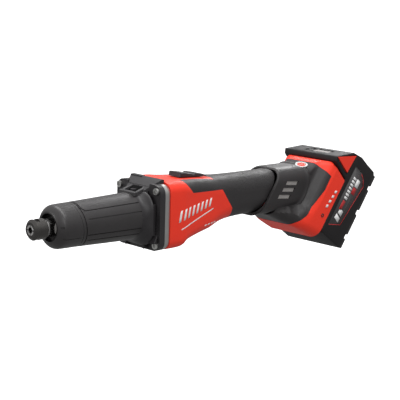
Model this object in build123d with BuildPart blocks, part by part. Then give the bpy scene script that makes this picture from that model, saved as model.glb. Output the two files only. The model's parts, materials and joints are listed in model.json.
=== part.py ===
from build123d import *
from math import cos, radians, sin
import os

# Cordless straight die grinder with a slide-on battery pack.
# Millimetres. X runs back along the spindle from the mouth of the collet, Z is up,
# and the tool's left side is -Y.

os.makedirs("parts", exist_ok=True)

# ---------------------------------------------------------------- driving dimensions
running_gap = 0.05
nut_radius = 9.8
nut_length = 14.2
shank_radius = 3.0
thread_radius = 7.5
nose_start = 20.0
cap_end = 46.6
sleeve_end = 115.6
neck_bore = 12.6
neck_tube_radius = 18.0
sleeve_front_radius = 21.4
sleeve_rear_radius = 23.3
flange_start = 129.0
flange_end = 135.5
plate_end = 142.0
flange_half = 32.5
flange_screw_y = 27.3
flange_screw_z = 26.7
wall = 2.5
motor_radius = 20.9
tilt = radians(35.5)
head_start = 235.6
foot_end = 314.2
pack_half = 39.0
pack_low = 176.5
pack_high = 274.0
pack_front = 314.7
pack_back = 355.5
pack_split = 338.0
bumper_back = 360.0

# The battery foot leans: "across" points out of the pack's front towards its back,
# and "along" points up the rails, the way the pack slides off.
across = Vector(cos(tilt), 0, -sin(tilt))
along = Vector(sin(tilt), 0, cos(tilt))
side_plane = Plane.XZ
tilt_side = Plane(origin=(0, 0, 0), x_dir=across, z_dir=(0, -1, 0))


def tilt_section(distance):
    """The plane square to the pack's thickness, at that distance along it."""
    return Plane(origin=across * distance, x_dir=(0, 1, 0), z_dir=across)


# ---------------------------------------------------------------- helpers
def finish(piece, name, colour):
    """Label a finished part and write its STEP file."""
    piece.part.label = name
    piece.part.color = Color(*colour)
    export_step(piece.part, f"parts/{name}.step")


def turn(*outline, mode=Mode.ADD):
    """Revolve an (x, radius) outline about the spindle axis."""
    with BuildSketch(Plane.XZ) as profile:
        with BuildLine():
            Polyline(*outline, close=True)
        make_face()
    revolve(profile.sketch, axis=Axis.X, mode=mode)


def ring(start, end, outer, inner=0.0, mode=Mode.ADD):
    """A plain tube about the spindle axis."""
    turn((start, inner), (end, inner), (end, outer), (start, outer), mode=mode)


def prism(plane, outline, y_low, y_high, mode=Mode.ADD):
    """Extrude a side-view outline between two distances across the tool."""
    with BuildSketch(plane.offset(-y_high)) as profile:
        with BuildLine():
            Polyline(*outline, close=True)
        make_face()
    extrude(profile.sketch, amount=y_high - y_low, mode=mode)


def block(plane, low, high, y_low, y_high, mode=Mode.ADD):
    """A rectangular prism from two opposite corners of its side view."""
    corners = (low, (high[0], low[1]), high, (low[0], high[1]))
    prism(plane, corners, y_low, y_high, mode=mode)


def plan_prism(outline, low, high, mode=Mode.ADD):
    """Extrude a plan-view (x, y) outline between two heights."""
    with BuildSketch(Plane.XY.offset(low)) as profile:
        with BuildLine():
            Polyline(*outline, close=True)
        make_face()
    extrude(profile.sketch, amount=high - low, mode=mode)


def rounded_section(plane, half_width, low, high, corner, inset=0.0):
    """A rounded rectangle from low to high, inset by a wall's thickness."""
    with BuildSketch(plane) as section:
        with Locations((0, (low + high) / 2)):
            RectangleRounded(
                2 * (half_width - inset),
                high - low - 2 * inset,
                max(corner - inset, 1.0),
            )
    return section.sketch


def skin_loft(stations, plane_at, inset, mode=Mode.ADD):
    """A ruled loft through (position, half width, low, high, corner) stations."""
    sections = [rounded_section(plane_at(s[0]), *s[1:], inset) for s in stations]
    loft(sections, ruled=True, mode=mode)


def cross_plane(x):
    """The plane square to the spindle at x, with local axes Y and Z."""
    return Plane.YZ.offset(x)


def cross_hole(x, z, radius, y_low, y_high, mode=Mode.SUBTRACT):
    """A cylinder across the tool."""
    with BuildSketch(Plane.XZ.offset(-y_high)) as circle:
        with Locations((x, z)):
            Circle(radius)
    extrude(circle.sketch, amount=y_high - y_low, mode=mode)


def long_hole(y, z, radius, start, end, mode=Mode.SUBTRACT):
    """A cylinder along the tool."""
    with BuildSketch(cross_plane(start)) as circle:
        with Locations((y, z)):
            Circle(radius)
    extrude(circle.sketch, amount=end - start, mode=mode)


black = (0.06, 0.06, 0.065)
red = (0.75, 0.06, 0.05)
steel = (0.6, 0.6, 0.62)
silver = (0.7, 0.7, 0.7)
copper = (0.72, 0.38, 0.2)
green = (0.05, 0.3, 0.12)
pale = (0.55, 0.55, 0.53)

# ---------------------------------------------------------------- collet and nut
with BuildPart() as collet:
    turn(
        (0, shank_radius),
        (22, shank_radius),
        (22, 4.6),
        (6, 5.6),
        (5.2, 5.0),
        (4.2, 5.0),
        (4.0, 6.3),
        (2.6, 6.3),
        (0, 4.86),
    )
    with Locations((8, 0, 0)):
        Box(16, 0.8, 14, mode=Mode.SUBTRACT)
        Box(16, 14, 0.8, mode=Mode.SUBTRACT)
finish(collet, "collet", steel)

with BuildPart() as collet_nut:
    turn(
        (0, 4.92),
        (0, 7.4),
        (2.2, nut_radius),
        (nut_length - 0.8, nut_radius),
        (nut_length, nut_radius - 0.8),
        (nut_length, thread_radius + running_gap),
        (4.6, thread_radius + running_gap),
        (4.6, 6.38),
        (2.55, 6.38),
    )
    for side in (-1, 1):
        with Locations((5.4, 0, side * 9.8)):
            Box(4.4, 22, 3, mode=Mode.SUBTRACT)
finish(collet_nut, "collet_nut", black)

# ---------------------------------------------------------------- spindle line
neck_journal = 6.0
motor_journal = 4.0
front_bearing = 30.0
rear_neck_bearing = 106.0
neck_bearing_width = 8.0
motor_front_bearing = 144.0
motor_rear_bearing = 203.0
motor_bearing_width = 7.0

with BuildPart() as spindle:
    turn(
        (26, 0),
        (126, 0),
        (126, 5.0),
        (114, 5.0),
        (114, neck_journal),
        (106, neck_journal),
        (106, 5.8),
        (38, 5.8),
        (38, neck_journal),
        (30, neck_journal),
        (30, 7.2),
        (25, 7.2),
        (25, 8.6),
        (14.8, 8.6),
        (14.8, thread_radius),
        (5.5, thread_radius),
        (5.2, 7.2),
        (5.2, 5.72),
        (22.6, 4.63),
        (26, 4.63),
    )
    for side in (-1, 1):
        with Locations((19.6, side * 8.8, 0)):
            Box(7.4, 3.6, 22, mode=Mode.SUBTRACT)
finish(spindle, "spindle", steel)

with BuildPart() as drive_coupling:
    turn(
        (116, 5.0),
        (126.5, 5.0),
        (126.5, motor_journal),
        (137, motor_journal),
        (137, 8.6),
        (136.6, 9.0),
        (116.4, 9.0),
        (116, 8.6),
    )
    for groove_start in (121.0, 125.8, 130.6):
        ring(groove_start, groove_start + 1.4, 9.5, 7.6, mode=Mode.SUBTRACT)
finish(drive_coupling, "drive_coupling", silver)

with BuildPart() as rotor_shaft:
    turn(
        (127, 0),
        (212, 0),
        (212, motor_journal),
        (200, motor_journal),
        (200, 5),
        (151, 5),
        (151, motor_journal),
        (127, motor_journal),
    )
finish(rotor_shaft, "rotor_shaft", steel)


def bearing(places, width, bore, inner_wall, outer_wall, outer, ball, count, name):
    """Outer rings, inner rings and balls of like ball bearings along the spindle."""
    pitch = (inner_wall + outer_wall) / 2

    def raceway(middle):
        with BuildSketch(Plane.XZ) as circle:
            with Locations((middle, pitch)):
                Circle(ball + running_gap)
        revolve(circle.sketch, axis=Axis.X, mode=Mode.SUBTRACT)

    with BuildPart() as outers:
        for start in places:
            ring(start, start + width, outer, outer_wall)
            raceway(start + width / 2)
    finish(outers, f"{name}_bearing_outers", steel)
    with BuildPart() as inners:
        for start in places:
            ring(start, start + width, inner_wall, bore)
            raceway(start + width / 2)
    finish(inners, f"{name}_bearing_inners", steel)
    with BuildPart() as balls:
        for start in places:
            with Locations(cross_plane(start + width / 2)):
                with PolarLocations(pitch, count):
                    Sphere(ball)
    finish(balls, f"{name}_bearing_balls", steel)


neck_bearings = (front_bearing, rear_neck_bearing)
motor_bearings = (motor_front_bearing, motor_rear_bearing)
bearing(neck_bearings, neck_bearing_width, neck_journal, 8.4, 11.6, 14, 2.2, 8, "neck")
bearing(motor_bearings, motor_bearing_width, motor_journal, 6.2, 8.8, 11, 1.9, 7, "motor")

# ---------------------------------------------------------------- motor
stack_start = 168.0
stack_end = 194.0
stack_length = stack_end - stack_start
stack_middle = (stack_start + stack_end) / 2
tooth_count = 6

with BuildPart() as rotor_core:
    ring(stack_start, stack_end, 8.8, 5)
finish(rotor_core, "rotor_core", steel)

with BuildPart() as rotor_magnets:
    ring(stack_start + 0.5, stack_end - 0.5, 11.3, 8.8)
    with Locations((stack_middle, 0, 0)):
        Box(stack_length, 1.6, 26, mode=Mode.SUBTRACT)
        Box(stack_length, 26, 1.6, mode=Mode.SUBTRACT)
finish(rotor_magnets, "rotor_magnets", (0.3, 0.3, 0.32))

with BuildPart() as stator_core:
    ring(stack_start, stack_end, motor_radius, 17.4)
    with Locations(cross_plane(stack_middle)):
        with PolarLocations(15.0, tooth_count):
            Box(5.4, 5.0, stack_length)
    ring(stack_start, stack_end, 12.0, 0, mode=Mode.SUBTRACT)
finish(stator_core, "stator_core", steel)

with BuildPart() as stator_windings:
    with Locations(cross_plane(stack_middle)):
        with PolarLocations(14.9, tooth_count):
            Box(3.2, 9.0, stack_length + 7)
            Box(5, 5.1, stack_length + 0.2, mode=Mode.SUBTRACT)
    crowns = stator_windings.edges().filter_by(lambda edge: 8.9 < edge.length < 9.1)
    fillet(crowns, 1.2)
finish(stator_windings, "stator_windings", copper)

with BuildPart() as sensor_board:
    ring(198.5, 200, 19, 8)
finish(sensor_board, "sensor_board", green)

with BuildPart() as rear_bearing_bracket:
    ring(201.6, 210, 13.6, 11)
    ring(201.6, 203, 15, 6.4)
    with Locations(cross_plane(205.8)):
        with PolarLocations(15.6, 4, start_angle=45):
            Box(4.4, 3, 8.4)
finish(rear_bearing_bracket, "rear_bearing_bracket", black)

fan_start = 151.5
fan_radius = 27.0
blade_count = 11
with BuildPart() as fan:
    ring(fan_start, 159.5, 8.6, 5)
    ring(158.2, 159.5, fan_radius, 5)
    with Locations(cross_plane((fan_start + 158.2) / 2)):
        with PolarLocations((8 + fan_radius) / 2, blade_count):
            Box(fan_radius - 8.4, 1.4, 158.2 - fan_start)
finish(fan, "fan", black)

with BuildPart() as air_baffle:
    with BuildSketch(cross_plane(160)):
        RectangleRounded(59.4, 59.4, 8)
        Circle(15, mode=Mode.SUBTRACT)
    extrude(amount=1.6)
finish(air_baffle, "air_baffle", black)

# ---------------------------------------------------------------- neck
visor_front = 124.8
visor_front_half = 13.4
visor_full = 138.4
visor_half = 22.0
visor_back = 142.0
flange_notch = 28.2
stub_x = 122.6
stub_height = 10.6
screw_places = [
    (y, z)
    for y in (-flange_screw_y, flange_screw_y)
    for z in (-flange_screw_z, flange_screw_z)
]



def visor_plan(clearance=0.0):
    """Plan of the shield: narrow at the scoop, full width behind the flange."""
    front_half, full_half = visor_front_half + clearance, visor_half + clearance
    return (
        (visor_front, -front_half),
        (visor_full, -full_half),
        (visor_back, -full_half),
        (visor_back, full_half),
        (visor_full, full_half),
        (visor_front, front_half),
    )


with BuildPart() as neck_housing:
    ring(27, flange_start, neck_tube_radius)
    with BuildSketch(cross_plane(flange_start)):
        RectangleRounded(2 * flange_half, 2 * flange_half, 9)
    extrude(amount=flange_end - flange_start)
    ring(27, 38, 14, mode=Mode.SUBTRACT)
    ring(38, 106, neck_bore, mode=Mode.SUBTRACT)
    ring(106, flange_end, 14, mode=Mode.SUBTRACT)
    for y, z in screw_places:
        long_hole(y, z, 2.0, flange_start - 1, flange_end + 1)
    with Locations(cross_plane((flange_start + flange_end) / 2)):
        with PolarLocations(23.4, 4):
            Box(7, 26, 10, mode=Mode.SUBTRACT)
    plan_prism(visor_plan(0.1), flange_notch, flange_half + 1, mode=Mode.SUBTRACT)
    # A stub on the tube inside the top scoop.
    with BuildSketch(Plane.XY.offset(neck_bore + 3)):
        with Locations((stub_x, 0)):
            Circle(3)
    extrude(amount=stub_height)
finish(neck_housing, "neck_housing", black)

with BuildPart() as front_seal:
    ring(27.2, 29.8, 14, 7.4)
finish(front_seal, "front_seal", black)

with BuildPart() as nose_cap:
    turn(
        (nose_start, 13.2),
        (nose_start, 14.6),
        (21.0, 16.4),
        (25.2, 20.4),
        (27.5, 21.0),
        (cap_end, sleeve_front_radius - 0.1),
        (cap_end, neck_tube_radius),
        (27, neck_tube_radius),
        (27, 13.2),
    )
finish(nose_cap, "nose_cap", black)

with BuildPart() as neck_sleeve:
    turn(
        (cap_end + 0.2, neck_tube_radius),
        (sleeve_end, neck_tube_radius),
        (sleeve_end, sleeve_rear_radius),
        (cap_end + 0.8, sleeve_front_radius),
        (cap_end + 0.2, sleeve_front_radius - 0.5),
    )
    for angle in (20, -21, -38):
        for side in (-1, 1):
            middle = Vector(79, side * 22.6 * cos(radians(angle)), 22.6 * sin(radians(angle)))
            lean = angle if side > 0 else 180 - angle
            with Locations(Plane(origin=middle, x_dir=(1, 0, 0), z_dir=(
                    0, cos(radians(lean)), sin(radians(lean))))):
                Box(58, 0.9, 2.6, mode=Mode.SUBTRACT)
finish(neck_sleeve, "neck_sleeve", black)

lip_front = 113.8
lip_half = 11.5
scoop_half = 8.4
scoop_back = 127.8
flare_end = 125.0
flare_half = 27.0
flare_drop = 1.5
with BuildPart() as shield:
    prism(
        side_plane,
        (
            (visor_front, 26.6),
            (visor_full, 36.4),
            (visor_back, 36.4),
            (visor_back, 33.1),
            (flange_end, 33.1),
            (flange_end, flange_notch),
            (flange_start, flange_notch),
            (flange_start, 26.2),
            (visor_front, 22.6),
        ),
        -visor_half,
        visor_half,
    )
    plan_prism(visor_plan(), 20, 40, mode=Mode.INTERSECT)

with BuildPart() as exhaust_shroud:
    with BuildSketch(cross_plane(sleeve_end)):
        Circle(sleeve_rear_radius)
    with BuildSketch(cross_plane(flare_end)):
        with Locations((0, -flare_drop)):
            RectangleRounded(2 * flare_half, 2 * flare_half, 17)
    loft()
    with BuildSketch(cross_plane(sleeve_end + 2)):
        Circle(20.8)
    with BuildSketch(cross_plane(flare_end)):
        with Locations((0, -flare_drop)):
            RectangleRounded(2 * flare_half - 4.4, 2 * flare_half - 4.4, 14.8)
    loft(mode=Mode.SUBTRACT)
    ring(sleeve_end - 1, 130, neck_tube_radius, mode=Mode.SUBTRACT)
    # Corner posts and side ribs carry the flare on the flange.
    rib_start = flare_end - 1
    for y in (-25.4, 25.4):
        block(side_plane, (rib_start, -9), (flange_start, 7), y - 1.2, y + 1.2)
        for low, high in ((9, 14), (-17, -12)):
            block(side_plane, (rib_start, low), (flange_start, high), y - 1.5, y + 1.5)
    block(side_plane, (rib_start, -28.4), (flange_start, -25.8), -10, 10)
    # A sloping shield over the top scoop caps the plate behind it, on two cheeks.
    add(shield.part)
    for side in (-1, 1):
        cheek = ((120.6, 10.4), (flange_start, 15.9), (flange_start, 13.4), (120.6, 8.6))
        plan_prism([(x, side * y) for x, y in cheek], 17, 25)
    block(
        side_plane,
        (lip_front - 1, 18.5),
        (scoop_back, 40),
        -scoop_half,
        scoop_half,
        mode=Mode.SUBTRACT,
    )
    # The raised rim around the scoop: a bar across its front and an arm on each side.
    prism(
        side_plane,
        (
            (lip_front, 19.5),
            (lip_front, 24.2),
            (lip_front + 0.8, 25.2),
            (lip_front + 3.4, 25.4),
            (lip_front + 3.4, 19.5),
        ),
        -lip_half,
        lip_half,
    )
    arm = ((lip_front + 3.2, 19.5), (lip_front + 3.2, 25.4), (scoop_back, 28.6), (scoop_back, 24))
    for y_low, y_high in ((-lip_half, -scoop_half), (scoop_half, lip_half)):
        prism(side_plane, arm, y_low, y_high)
    ring(lip_front - 3, flange_start, neck_tube_radius, mode=Mode.SUBTRACT)
    turn(
        (lip_front - 3, 0),
        (sleeve_end, 0),
        (sleeve_end, sleeve_rear_radius + 0.05),
        (lip_front - 3, sleeve_rear_radius + 0.05),
        mode=Mode.SUBTRACT,
    )
finish(exhaust_shroud, "exhaust_shroud", black)

with BuildPart() as flange_screws:
    for y, z in screw_places:
        long_hole(y, z, 3.3, flange_start - 2.4, flange_start, mode=Mode.ADD)
        long_hole(y, z, 1.9, flange_start, 155, mode=Mode.ADD)
        with BuildSketch(cross_plane(flange_start - 2.4)) as socket:
            with Locations((y, z)):
                RegularPolygon(1.6, 6)
        extrude(socket.sketch, amount=1.6, mode=Mode.SUBTRACT)
finish(flange_screws, "flange_screws", steel)

with BuildPart() as adapter_plate:
    with BuildSketch(cross_plane(flange_end)):
        RectangleRounded(65.2, 65.2, 10)
    extrude(amount=4)
    with BuildSketch(cross_plane(flange_end + 4)):
        RectangleRounded(63.6, 63.6, 9.2)
    extrude(amount=plate_end - flange_end - 4)
    ring(plate_end, 151, 13.5)
    ring(motor_front_bearing, 152, 11, mode=Mode.SUBTRACT)
    ring(flange_end - 1, motor_front_bearing, 9.6, mode=Mode.SUBTRACT)
    for y, z in screw_places:
        long_hole(y, z, 2.0, flange_end - 1, plate_end + 1)
    with Locations(cross_plane(flange_end + 3)):
        with PolarLocations(21.4, 4):
            Box(11, 26, 10, mode=Mode.SUBTRACT)
finish(adapter_plate, "adapter_plate", pale)

# ---------------------------------------------------------------- motor housing and grip
# Stations: x, half width, lowest z, highest z, corner radius.
body_stations = (
    (plate_end, 33, -32.6, 34, 10),
    (163, 32.5, -32.4, 33.5, 10),
    (171, 30, -27.6, 32.8, 11),
    (191, 27.5, -24.2, 31.8, 12),
    (208, 25, -22, 30.6, 13),
    (223, 22.5, -18.5, 29.8, 15),
    (238, 21, -16, 29.2, 16),
    (262, 20.5, -15, 29, 17),
    (322, 20.5, -15, 29, 17),
)
ridge_half = 16.0
ridge_end = 222.0
boss_places = ((165.2, -25.5), (217, -12), (252, 21), (296, 21), (273, -10))
corner_bosses = 155.0

with BuildPart() as body_outer:
    skin_loft(body_stations, cross_plane, 0)
with BuildPart() as body_inner:
    skin_loft(body_stations, cross_plane, wall)
with BuildPart() as body_bosses:
    for x, z in boss_places:
        cross_hole(x, z, 3.4, -40, 40, mode=Mode.ADD)
    for y, z in screw_places:
        long_hole(y, z, 4.6, plate_end, corner_bosses, mode=Mode.ADD)
with BuildPart() as body_shell:
    add(body_bosses.part)
    add(body_outer.part, mode=Mode.INTERSECT)
    add(body_outer.part - body_inner.part)
    for x, z in boss_places:
        cross_hole(x, z, 1.6, -13, 40)
        cross_hole(x, z, 3.1, 16, 40)
    for y, z in screw_places:
        long_hole(y, z, 1.95, plate_end - 1, corner_bosses + 1)
    # Slot for the switch's stem, cut through the top.
    block(side_plane, (181.5, 20), (197.5, 40), -3.4, 3.4, mode=Mode.SUBTRACT)

# The black overmould: all behind the slanted parting line, and a panel forward
# along each shoulder beside the switch ridge.
overmould_outline = (
    (161.6, 45),
    (161.6, 34.3),
    (172.8, 20.4),
    (216.4, 20.4),
    (229, 0.5),
    (231, -30),
    (340, -30),
    (340, 45),
)
with BuildPart() as overmould:
    prism(side_plane, overmould_outline, -40, 40)
    block(side_plane, (150, 23), (ridge_end, 45), -ridge_half, ridge_half, mode=Mode.SUBTRACT)
with BuildPart() as behind_head_line:
    block(tilt_side, (head_start, 0), (400, 400), -45, 45)

for side, keep in (("left", Keep.TOP), ("right", Keep.BOTTOM)):
    with BuildPart() as housing_half:
        add(body_shell.part)
        add(overmould.part, mode=Mode.SUBTRACT)
        split(bisect_by=Plane.XZ, keep=keep)
    finish(housing_half, f"housing_{side}", red)
    with BuildPart() as grip_half:
        add(body_shell.part)
        add(overmould.part, mode=Mode.INTERSECT)
        add(behind_head_line.part, mode=Mode.SUBTRACT)
        split(bisect_by=Plane.XZ, keep=keep)
    finish(grip_half, f"grip_{side}", black)

with BuildPart() as housing_screws:
    for x, z in boss_places:
        cross_hole(x, z, 1.5, -12, 16, mode=Mode.ADD)
        cross_hole(x, z, 2.8, 16, 18, mode=Mode.ADD)
finish(housing_screws, "housing_screws", steel)

# ---------------------------------------------------------------- rear head and foot
head_half = 24.0
head_low = -17.0
head_high = 30.6
foot_stations = (
    (252, 23.8, 159, 217, 13),
    (275, 25.2, 162.4, 239, 12),
    (287, 34.6, 164.4, 250, 11),
    (foot_end, 38, 168, 254, 11),
)
foot_profile = (
    (foot_end, 150),
    (foot_end, 241.6),
    (289, 248.3),
    (276.4, 239.2),
    (261.5, 224.1),
    (240, 209),
    (240, 150),
)
band_region_outline = (
    (283, 150),
    (287.5, 180),
    (294.2, 216.5),
    (294.2, 233.8),
    (276.4, 239.2),
    (276.4, 262),
    (320, 262),
    (320, 150),
)
tower_low = 190.0

with BuildPart() as foot_blank:
    skin_loft(foot_stations, tilt_section, 0)
    prism(tilt_side, foot_profile, -45, 45, mode=Mode.INTERSECT)
with BuildPart() as foot_hollow:
    skin_loft(foot_stations, tilt_section, 3.2)
    prism(
        tilt_side,
        ((316, 140), (316, 238.6), (288, 244.4), (277, 236), (263, 221), (240, 205), (240, 140)),
        -45,
        45,
        mode=Mode.INTERSECT,
    )
with BuildPart() as head_blank:
    extrude(rounded_section(cross_plane(262), head_half, head_low, head_high, 15), amount=88)
    prism(
        tilt_side,
        ((head_start, 100), (268, 100), (268, 260), (head_start, 260)),
        -45,
        45,
        mode=Mode.INTERSECT,
    )
with BuildPart() as head_hollow:
    extrude(rounded_section(cross_plane(255), head_half, head_low, head_high, 15, 4.2), amount=110)
    prism(
        tilt_side,
        ((head_start - 5, 100), (272, 100), (272, 260), (head_start - 5, 260)),
        -45,
        45,
        mode=Mode.INTERSECT,
    )
with BuildPart() as band_region:
    prism(tilt_side, band_region_outline, -45, 45)

mode_button_place = Plane(
    origin=(353, -11.5, 31.2), x_dir=(0.95, 0, 0.17), z_dir=(-0.17, -0.22, 0.95)
)

vent_bars = ((314.6, 16.2), (309.4, 9.5), (302.9, 2.7))
vent_length = 18.0
vent_height = 4.2
vent_rise = -1.8
vent_slant = 2.4


def vent_outline(x, z):
    """Side view of one slanted vent bar, from its front lower corner."""
    low = z - vent_height / 2
    high = z + vent_height / 2
    return (
        (x, low),
        (x + vent_length, low + vent_rise),
        (x + vent_length + vent_slant, high + vent_rise),
        (x + vent_slant, high),
    )


with BuildPart() as head_shell:
    add(head_blank.part)
    add(foot_blank.part)
    add(head_hollow.part, mode=Mode.SUBTRACT)
    add(foot_hollow.part, mode=Mode.SUBTRACT)
    add(band_region.part, mode=Mode.SUBTRACT)
    for x, z in vent_bars:
        prism(side_plane, vent_outline(x, z), -40, 40, mode=Mode.SUBTRACT)
    with BuildSketch(mode_button_place.offset(-14)) as well:
        Circle(7)
    extrude(well.sketch, amount=20, mode=Mode.SUBTRACT)

for side, keep in (("left", Keep.TOP), ("right", Keep.BOTTOM)):
    with BuildPart() as head_half_shell:
        add(head_shell.part)
        split(bisect_by=Plane.XZ, keep=keep)
    finish(head_half_shell, f"head_{side}", black)

with BuildPart() as vent_inserts:
    for x, z in vent_bars:
        for low in (-head_half + 0.5, head_half - 3.5):
            prism(side_plane, vent_outline(x, z), low, low + 3)
finish(vent_inserts, "vent_inserts", pale)

# The channel that the pack's rail tower slides in, open at the top of the foot.
channel_low = tower_low - 1
with BuildPart() as channel:
    block(tilt_side, (298.4, channel_low), (308.1, 262), -27.5, 27.5)
    block(tilt_side, (307, channel_low), (320, 262), -23.5, 23.5)
    block(tilt_side, (300.6, 212.6), (307.4, 262), -31, 31)

with BuildPart() as foot_band:
    add(foot_blank.part)
    add(foot_hollow.part, mode=Mode.SUBTRACT)
    add(band_region.part, mode=Mode.INTERSECT)
    add(channel.part, mode=Mode.SUBTRACT)
finish(foot_band, "foot_band", red)

with BuildPart() as rail_plate:
    plate_stations = tuple((s[0], s[1] - 3.3, s[2] + 3.3, s[3], 8) for s in foot_stations)
    skin_loft(plate_stations[2:], tilt_section, 0)
    block(tilt_side, (296.4, 160), (foot_end, 238.2), -45, 45, mode=Mode.INTERSECT)
    add(channel.part, mode=Mode.SUBTRACT)
    block(tilt_side, (290, 175.8), (320, 189.5), -22.2, 22.2, mode=Mode.SUBTRACT)
finish(rail_plate, "rail_plate", black)

blade_pitch = 8.0
blade_places = [blade_pitch * step for step in (-2, -1, 0, 1, 2)]
with BuildPart() as terminal_block:
    block(tilt_side, (299, 176), (313, 186.8), -22, 22)
finish(terminal_block, "terminal_block", black)
with BuildPart() as terminal_blades:
    for y in blade_places:
        block(tilt_side, (303, 186.8), (309, 202), y - 0.4, y + 0.4)
finish(terminal_blades, "terminal_blades", (0.72, 0.5, 0.2))

# ---------------------------------------------------------------- switch
with BuildPart() as switch_knob:
    prism(
        side_plane,
        (
            (175.5, 33.6),
            (176.6, 38.1),
            (184, 37.2),
            (192.6, 35.6),
            (194.2, 34.4),
            (196.4, 36.2),
            (206, 34.6),
            (211.5, 32.6),
            (211.5, 31.7),
        ),
        -9,
        9,
    )
    rim = switch_knob.edges().filter_by(
        lambda edge: abs(abs(edge.center().Y) - 9) < 0.01 and edge.center().Z > 34.3
    )
    fillet(rim, 1.2)
    block(side_plane, (190.5, 26.5), (195.5, 34.5), -2.8, 2.8)
finish(switch_knob, "switch_knob", black)

with BuildPart() as switch_slider:
    block(side_plane, (181, 24.1), (221.5, 26.5), -5, 5)
    block(side_plane, (218.5, 19), (221.5, 24.5), -3, 3)
finish(switch_slider, "switch_slider", pale)

with BuildPart() as switch_base:
    block(side_plane, (226, 12), (247.2, 22.5), -8, 8)
    fillet(switch_base.edges().filter_by(Axis.Y), 1)
    block(side_plane, (225, 18.4), (232, 21.6), -2.6, 2.6, mode=Mode.SUBTRACT)
finish(switch_base, "switch_base", black)

with BuildPart() as switch_plunger:
    block(side_plane, (221.9, 18.6), (230.5, 21.4), -2.4, 2.4)
    fillet(switch_plunger.edges().filter_by(Axis.Y).group_by(Axis.X)[0], 1.2)
finish(switch_plunger, "switch_plunger", red)

# ---------------------------------------------------------------- electronics
with BuildPart() as controller:
    block(side_plane, (232, -9), (267, 3), -13, 13)
    fillet(controller.edges().filter_by(Axis.Z), 2)
    for column in range(3):
        with BuildSketch(Plane.XY.offset(3)):
            with Locations((240 + 10 * column, 0)):
                Circle(4)
        extrude(amount=6)
finish(controller, "controller", black)


def wire_run(points, offsets, radius, bend, name, colour):
    """Parallel insulated wires, straight runs joined by arcs."""
    with BuildPart() as wires:
        for y in offsets:
            with BuildLine() as path:
                FilletPolyline(*[(x, y, z) for x, z in points], radius=bend)
            line = path.line
            with BuildSketch(Plane(origin=line @ 0, z_dir=line % 0)) as section:
                Circle(radius)
            sweep(section.sketch, path=line)
    finish(wires, name, colour)


def tilt_point(t, l):
    """World X and Z of a point given across and along the pack."""
    place = across * t + along * l
    return (place.X, place.Z)


phase_points = ((200, 17), (210, 17), (222, -1), (232, -1))
wire_run(phase_points, (-6, 0, 6), 1.2, 6, "phase_wires", (0.1, 0.15, 0.5))
block_face = 299.0
lead_along = 181.4
lead_points = (
    (267, -4.6),
    (284, -4.6),
    (304, -9),
    tilt_point(block_face - 20, lead_along),
    tilt_point(block_face, lead_along),
)
wire_run(lead_points, (-7, 7), 1.5, 9, "battery_leads", (0.5, 0.05, 0.05))

with BuildPart() as mode_button:
    with BuildSketch(mode_button_place.offset(-6)):
        Circle(4.6)
    extrude(amount=6.6)
    fillet(mode_button.edges().group_by(Axis.Z)[-1], 0.5)
    with BuildSketch(mode_button_place.offset(-8)):
        Circle(5.9)
    extrude(amount=2)
finish(mode_button, "mode_button", red)

with BuildPart() as mode_bezel:
    with BuildSketch(mode_button_place.offset(-4.4)):
        Circle(6.95)
        Circle(4.9, mode=Mode.SUBTRACT)
    extrude(amount=4.8)
finish(mode_bezel, "mode_bezel", silver)

with BuildPart() as mode_board:
    with BuildSketch(mode_button_place.offset(-11.2)):
        Rectangle(22, 18)
    extrude(amount=1.6)
finish(mode_board, "mode_board", green)

# ---------------------------------------------------------------- battery pack
pack_profile = (
    (pack_front, pack_low + 3),
    (pack_front + 3, pack_low),
    (pack_back, pack_low),
    (pack_back, pack_high - 3),
    (pack_back - 3, pack_high),
    (324, 276),
    (308.5, 273),
    (285.5, 254.6),
    (288.2, 249.4),
    (pack_front, 242.4),
)
cell_radius = 9.15
cell_pitch = 18.45
cell_rows = [pack_low + 2.6 + cell_radius + cell_pitch * n for n in range(5)]
cell_layers = (317.4 + cell_radius, 317.4 + cell_radius + cell_pitch)
button_outline = ((286.6, 254.6), (312.8, 271.4), (311, 249.2))
pack_wall = 2.4

with BuildPart() as pack_blank:
    prism(tilt_side, pack_profile, -pack_half, pack_half)
    side_edges = pack_blank.edges().filter_by(
        lambda edge: abs(abs(edge.center().Y) - pack_half) < 0.01
    )
    fillet(side_edges, 2.2)
    block(tilt_side, (300.2, tower_low), (307.5, 252), -27, 27)
    block(tilt_side, (307, tower_low), (316, 252), -23, 23)
with BuildPart() as pack_hollow:
    block(
        tilt_side,
        (317.2, pack_low + pack_wall),
        (pack_back - 0.4, pack_high - pack_wall),
        -(pack_half - pack_wall),
        pack_half - pack_wall,
    )
    # Hollow of the rail tower, over the pack's board.
    block(tilt_side, (303, tower_low + 18), (318, 262), -19, 19)
    for side in (-1, 1):
        inner, outer = sorted((side * 21.5, side * 36.6))
        block(tilt_side, (301.6, 213), (306.4, 259.4), inner, outer)
        inner, outer = sorted((side * 33, side * 45))
        prism(
            tilt_side,
            ((285.7, 254.2), (313.6, 272.2), (311.7, 248.2)),
            inner,
            outer,
        )
    for y in blade_places:
        block(tilt_side, (302, tower_low - 1), (310, tower_low + 19), y - 1.3, y + 1.3)

gauge_place = Plane(
    origin=across * 297 + along * 263.8,
    x_dir=(0, 1, 0),
    z_dir=across * -0.6248 + along * 0.7808,
)
with BuildPart() as gauge_pocket:
    with BuildSketch(gauge_place.offset(-1.2)):
        RectangleRounded(34, 13, 3)
    extrude(amount=6)
    with BuildSketch(gauge_place.offset(-5)):
        with Locations((12, 0)):
            Circle(3.6)
    extrude(amount=6)

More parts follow.
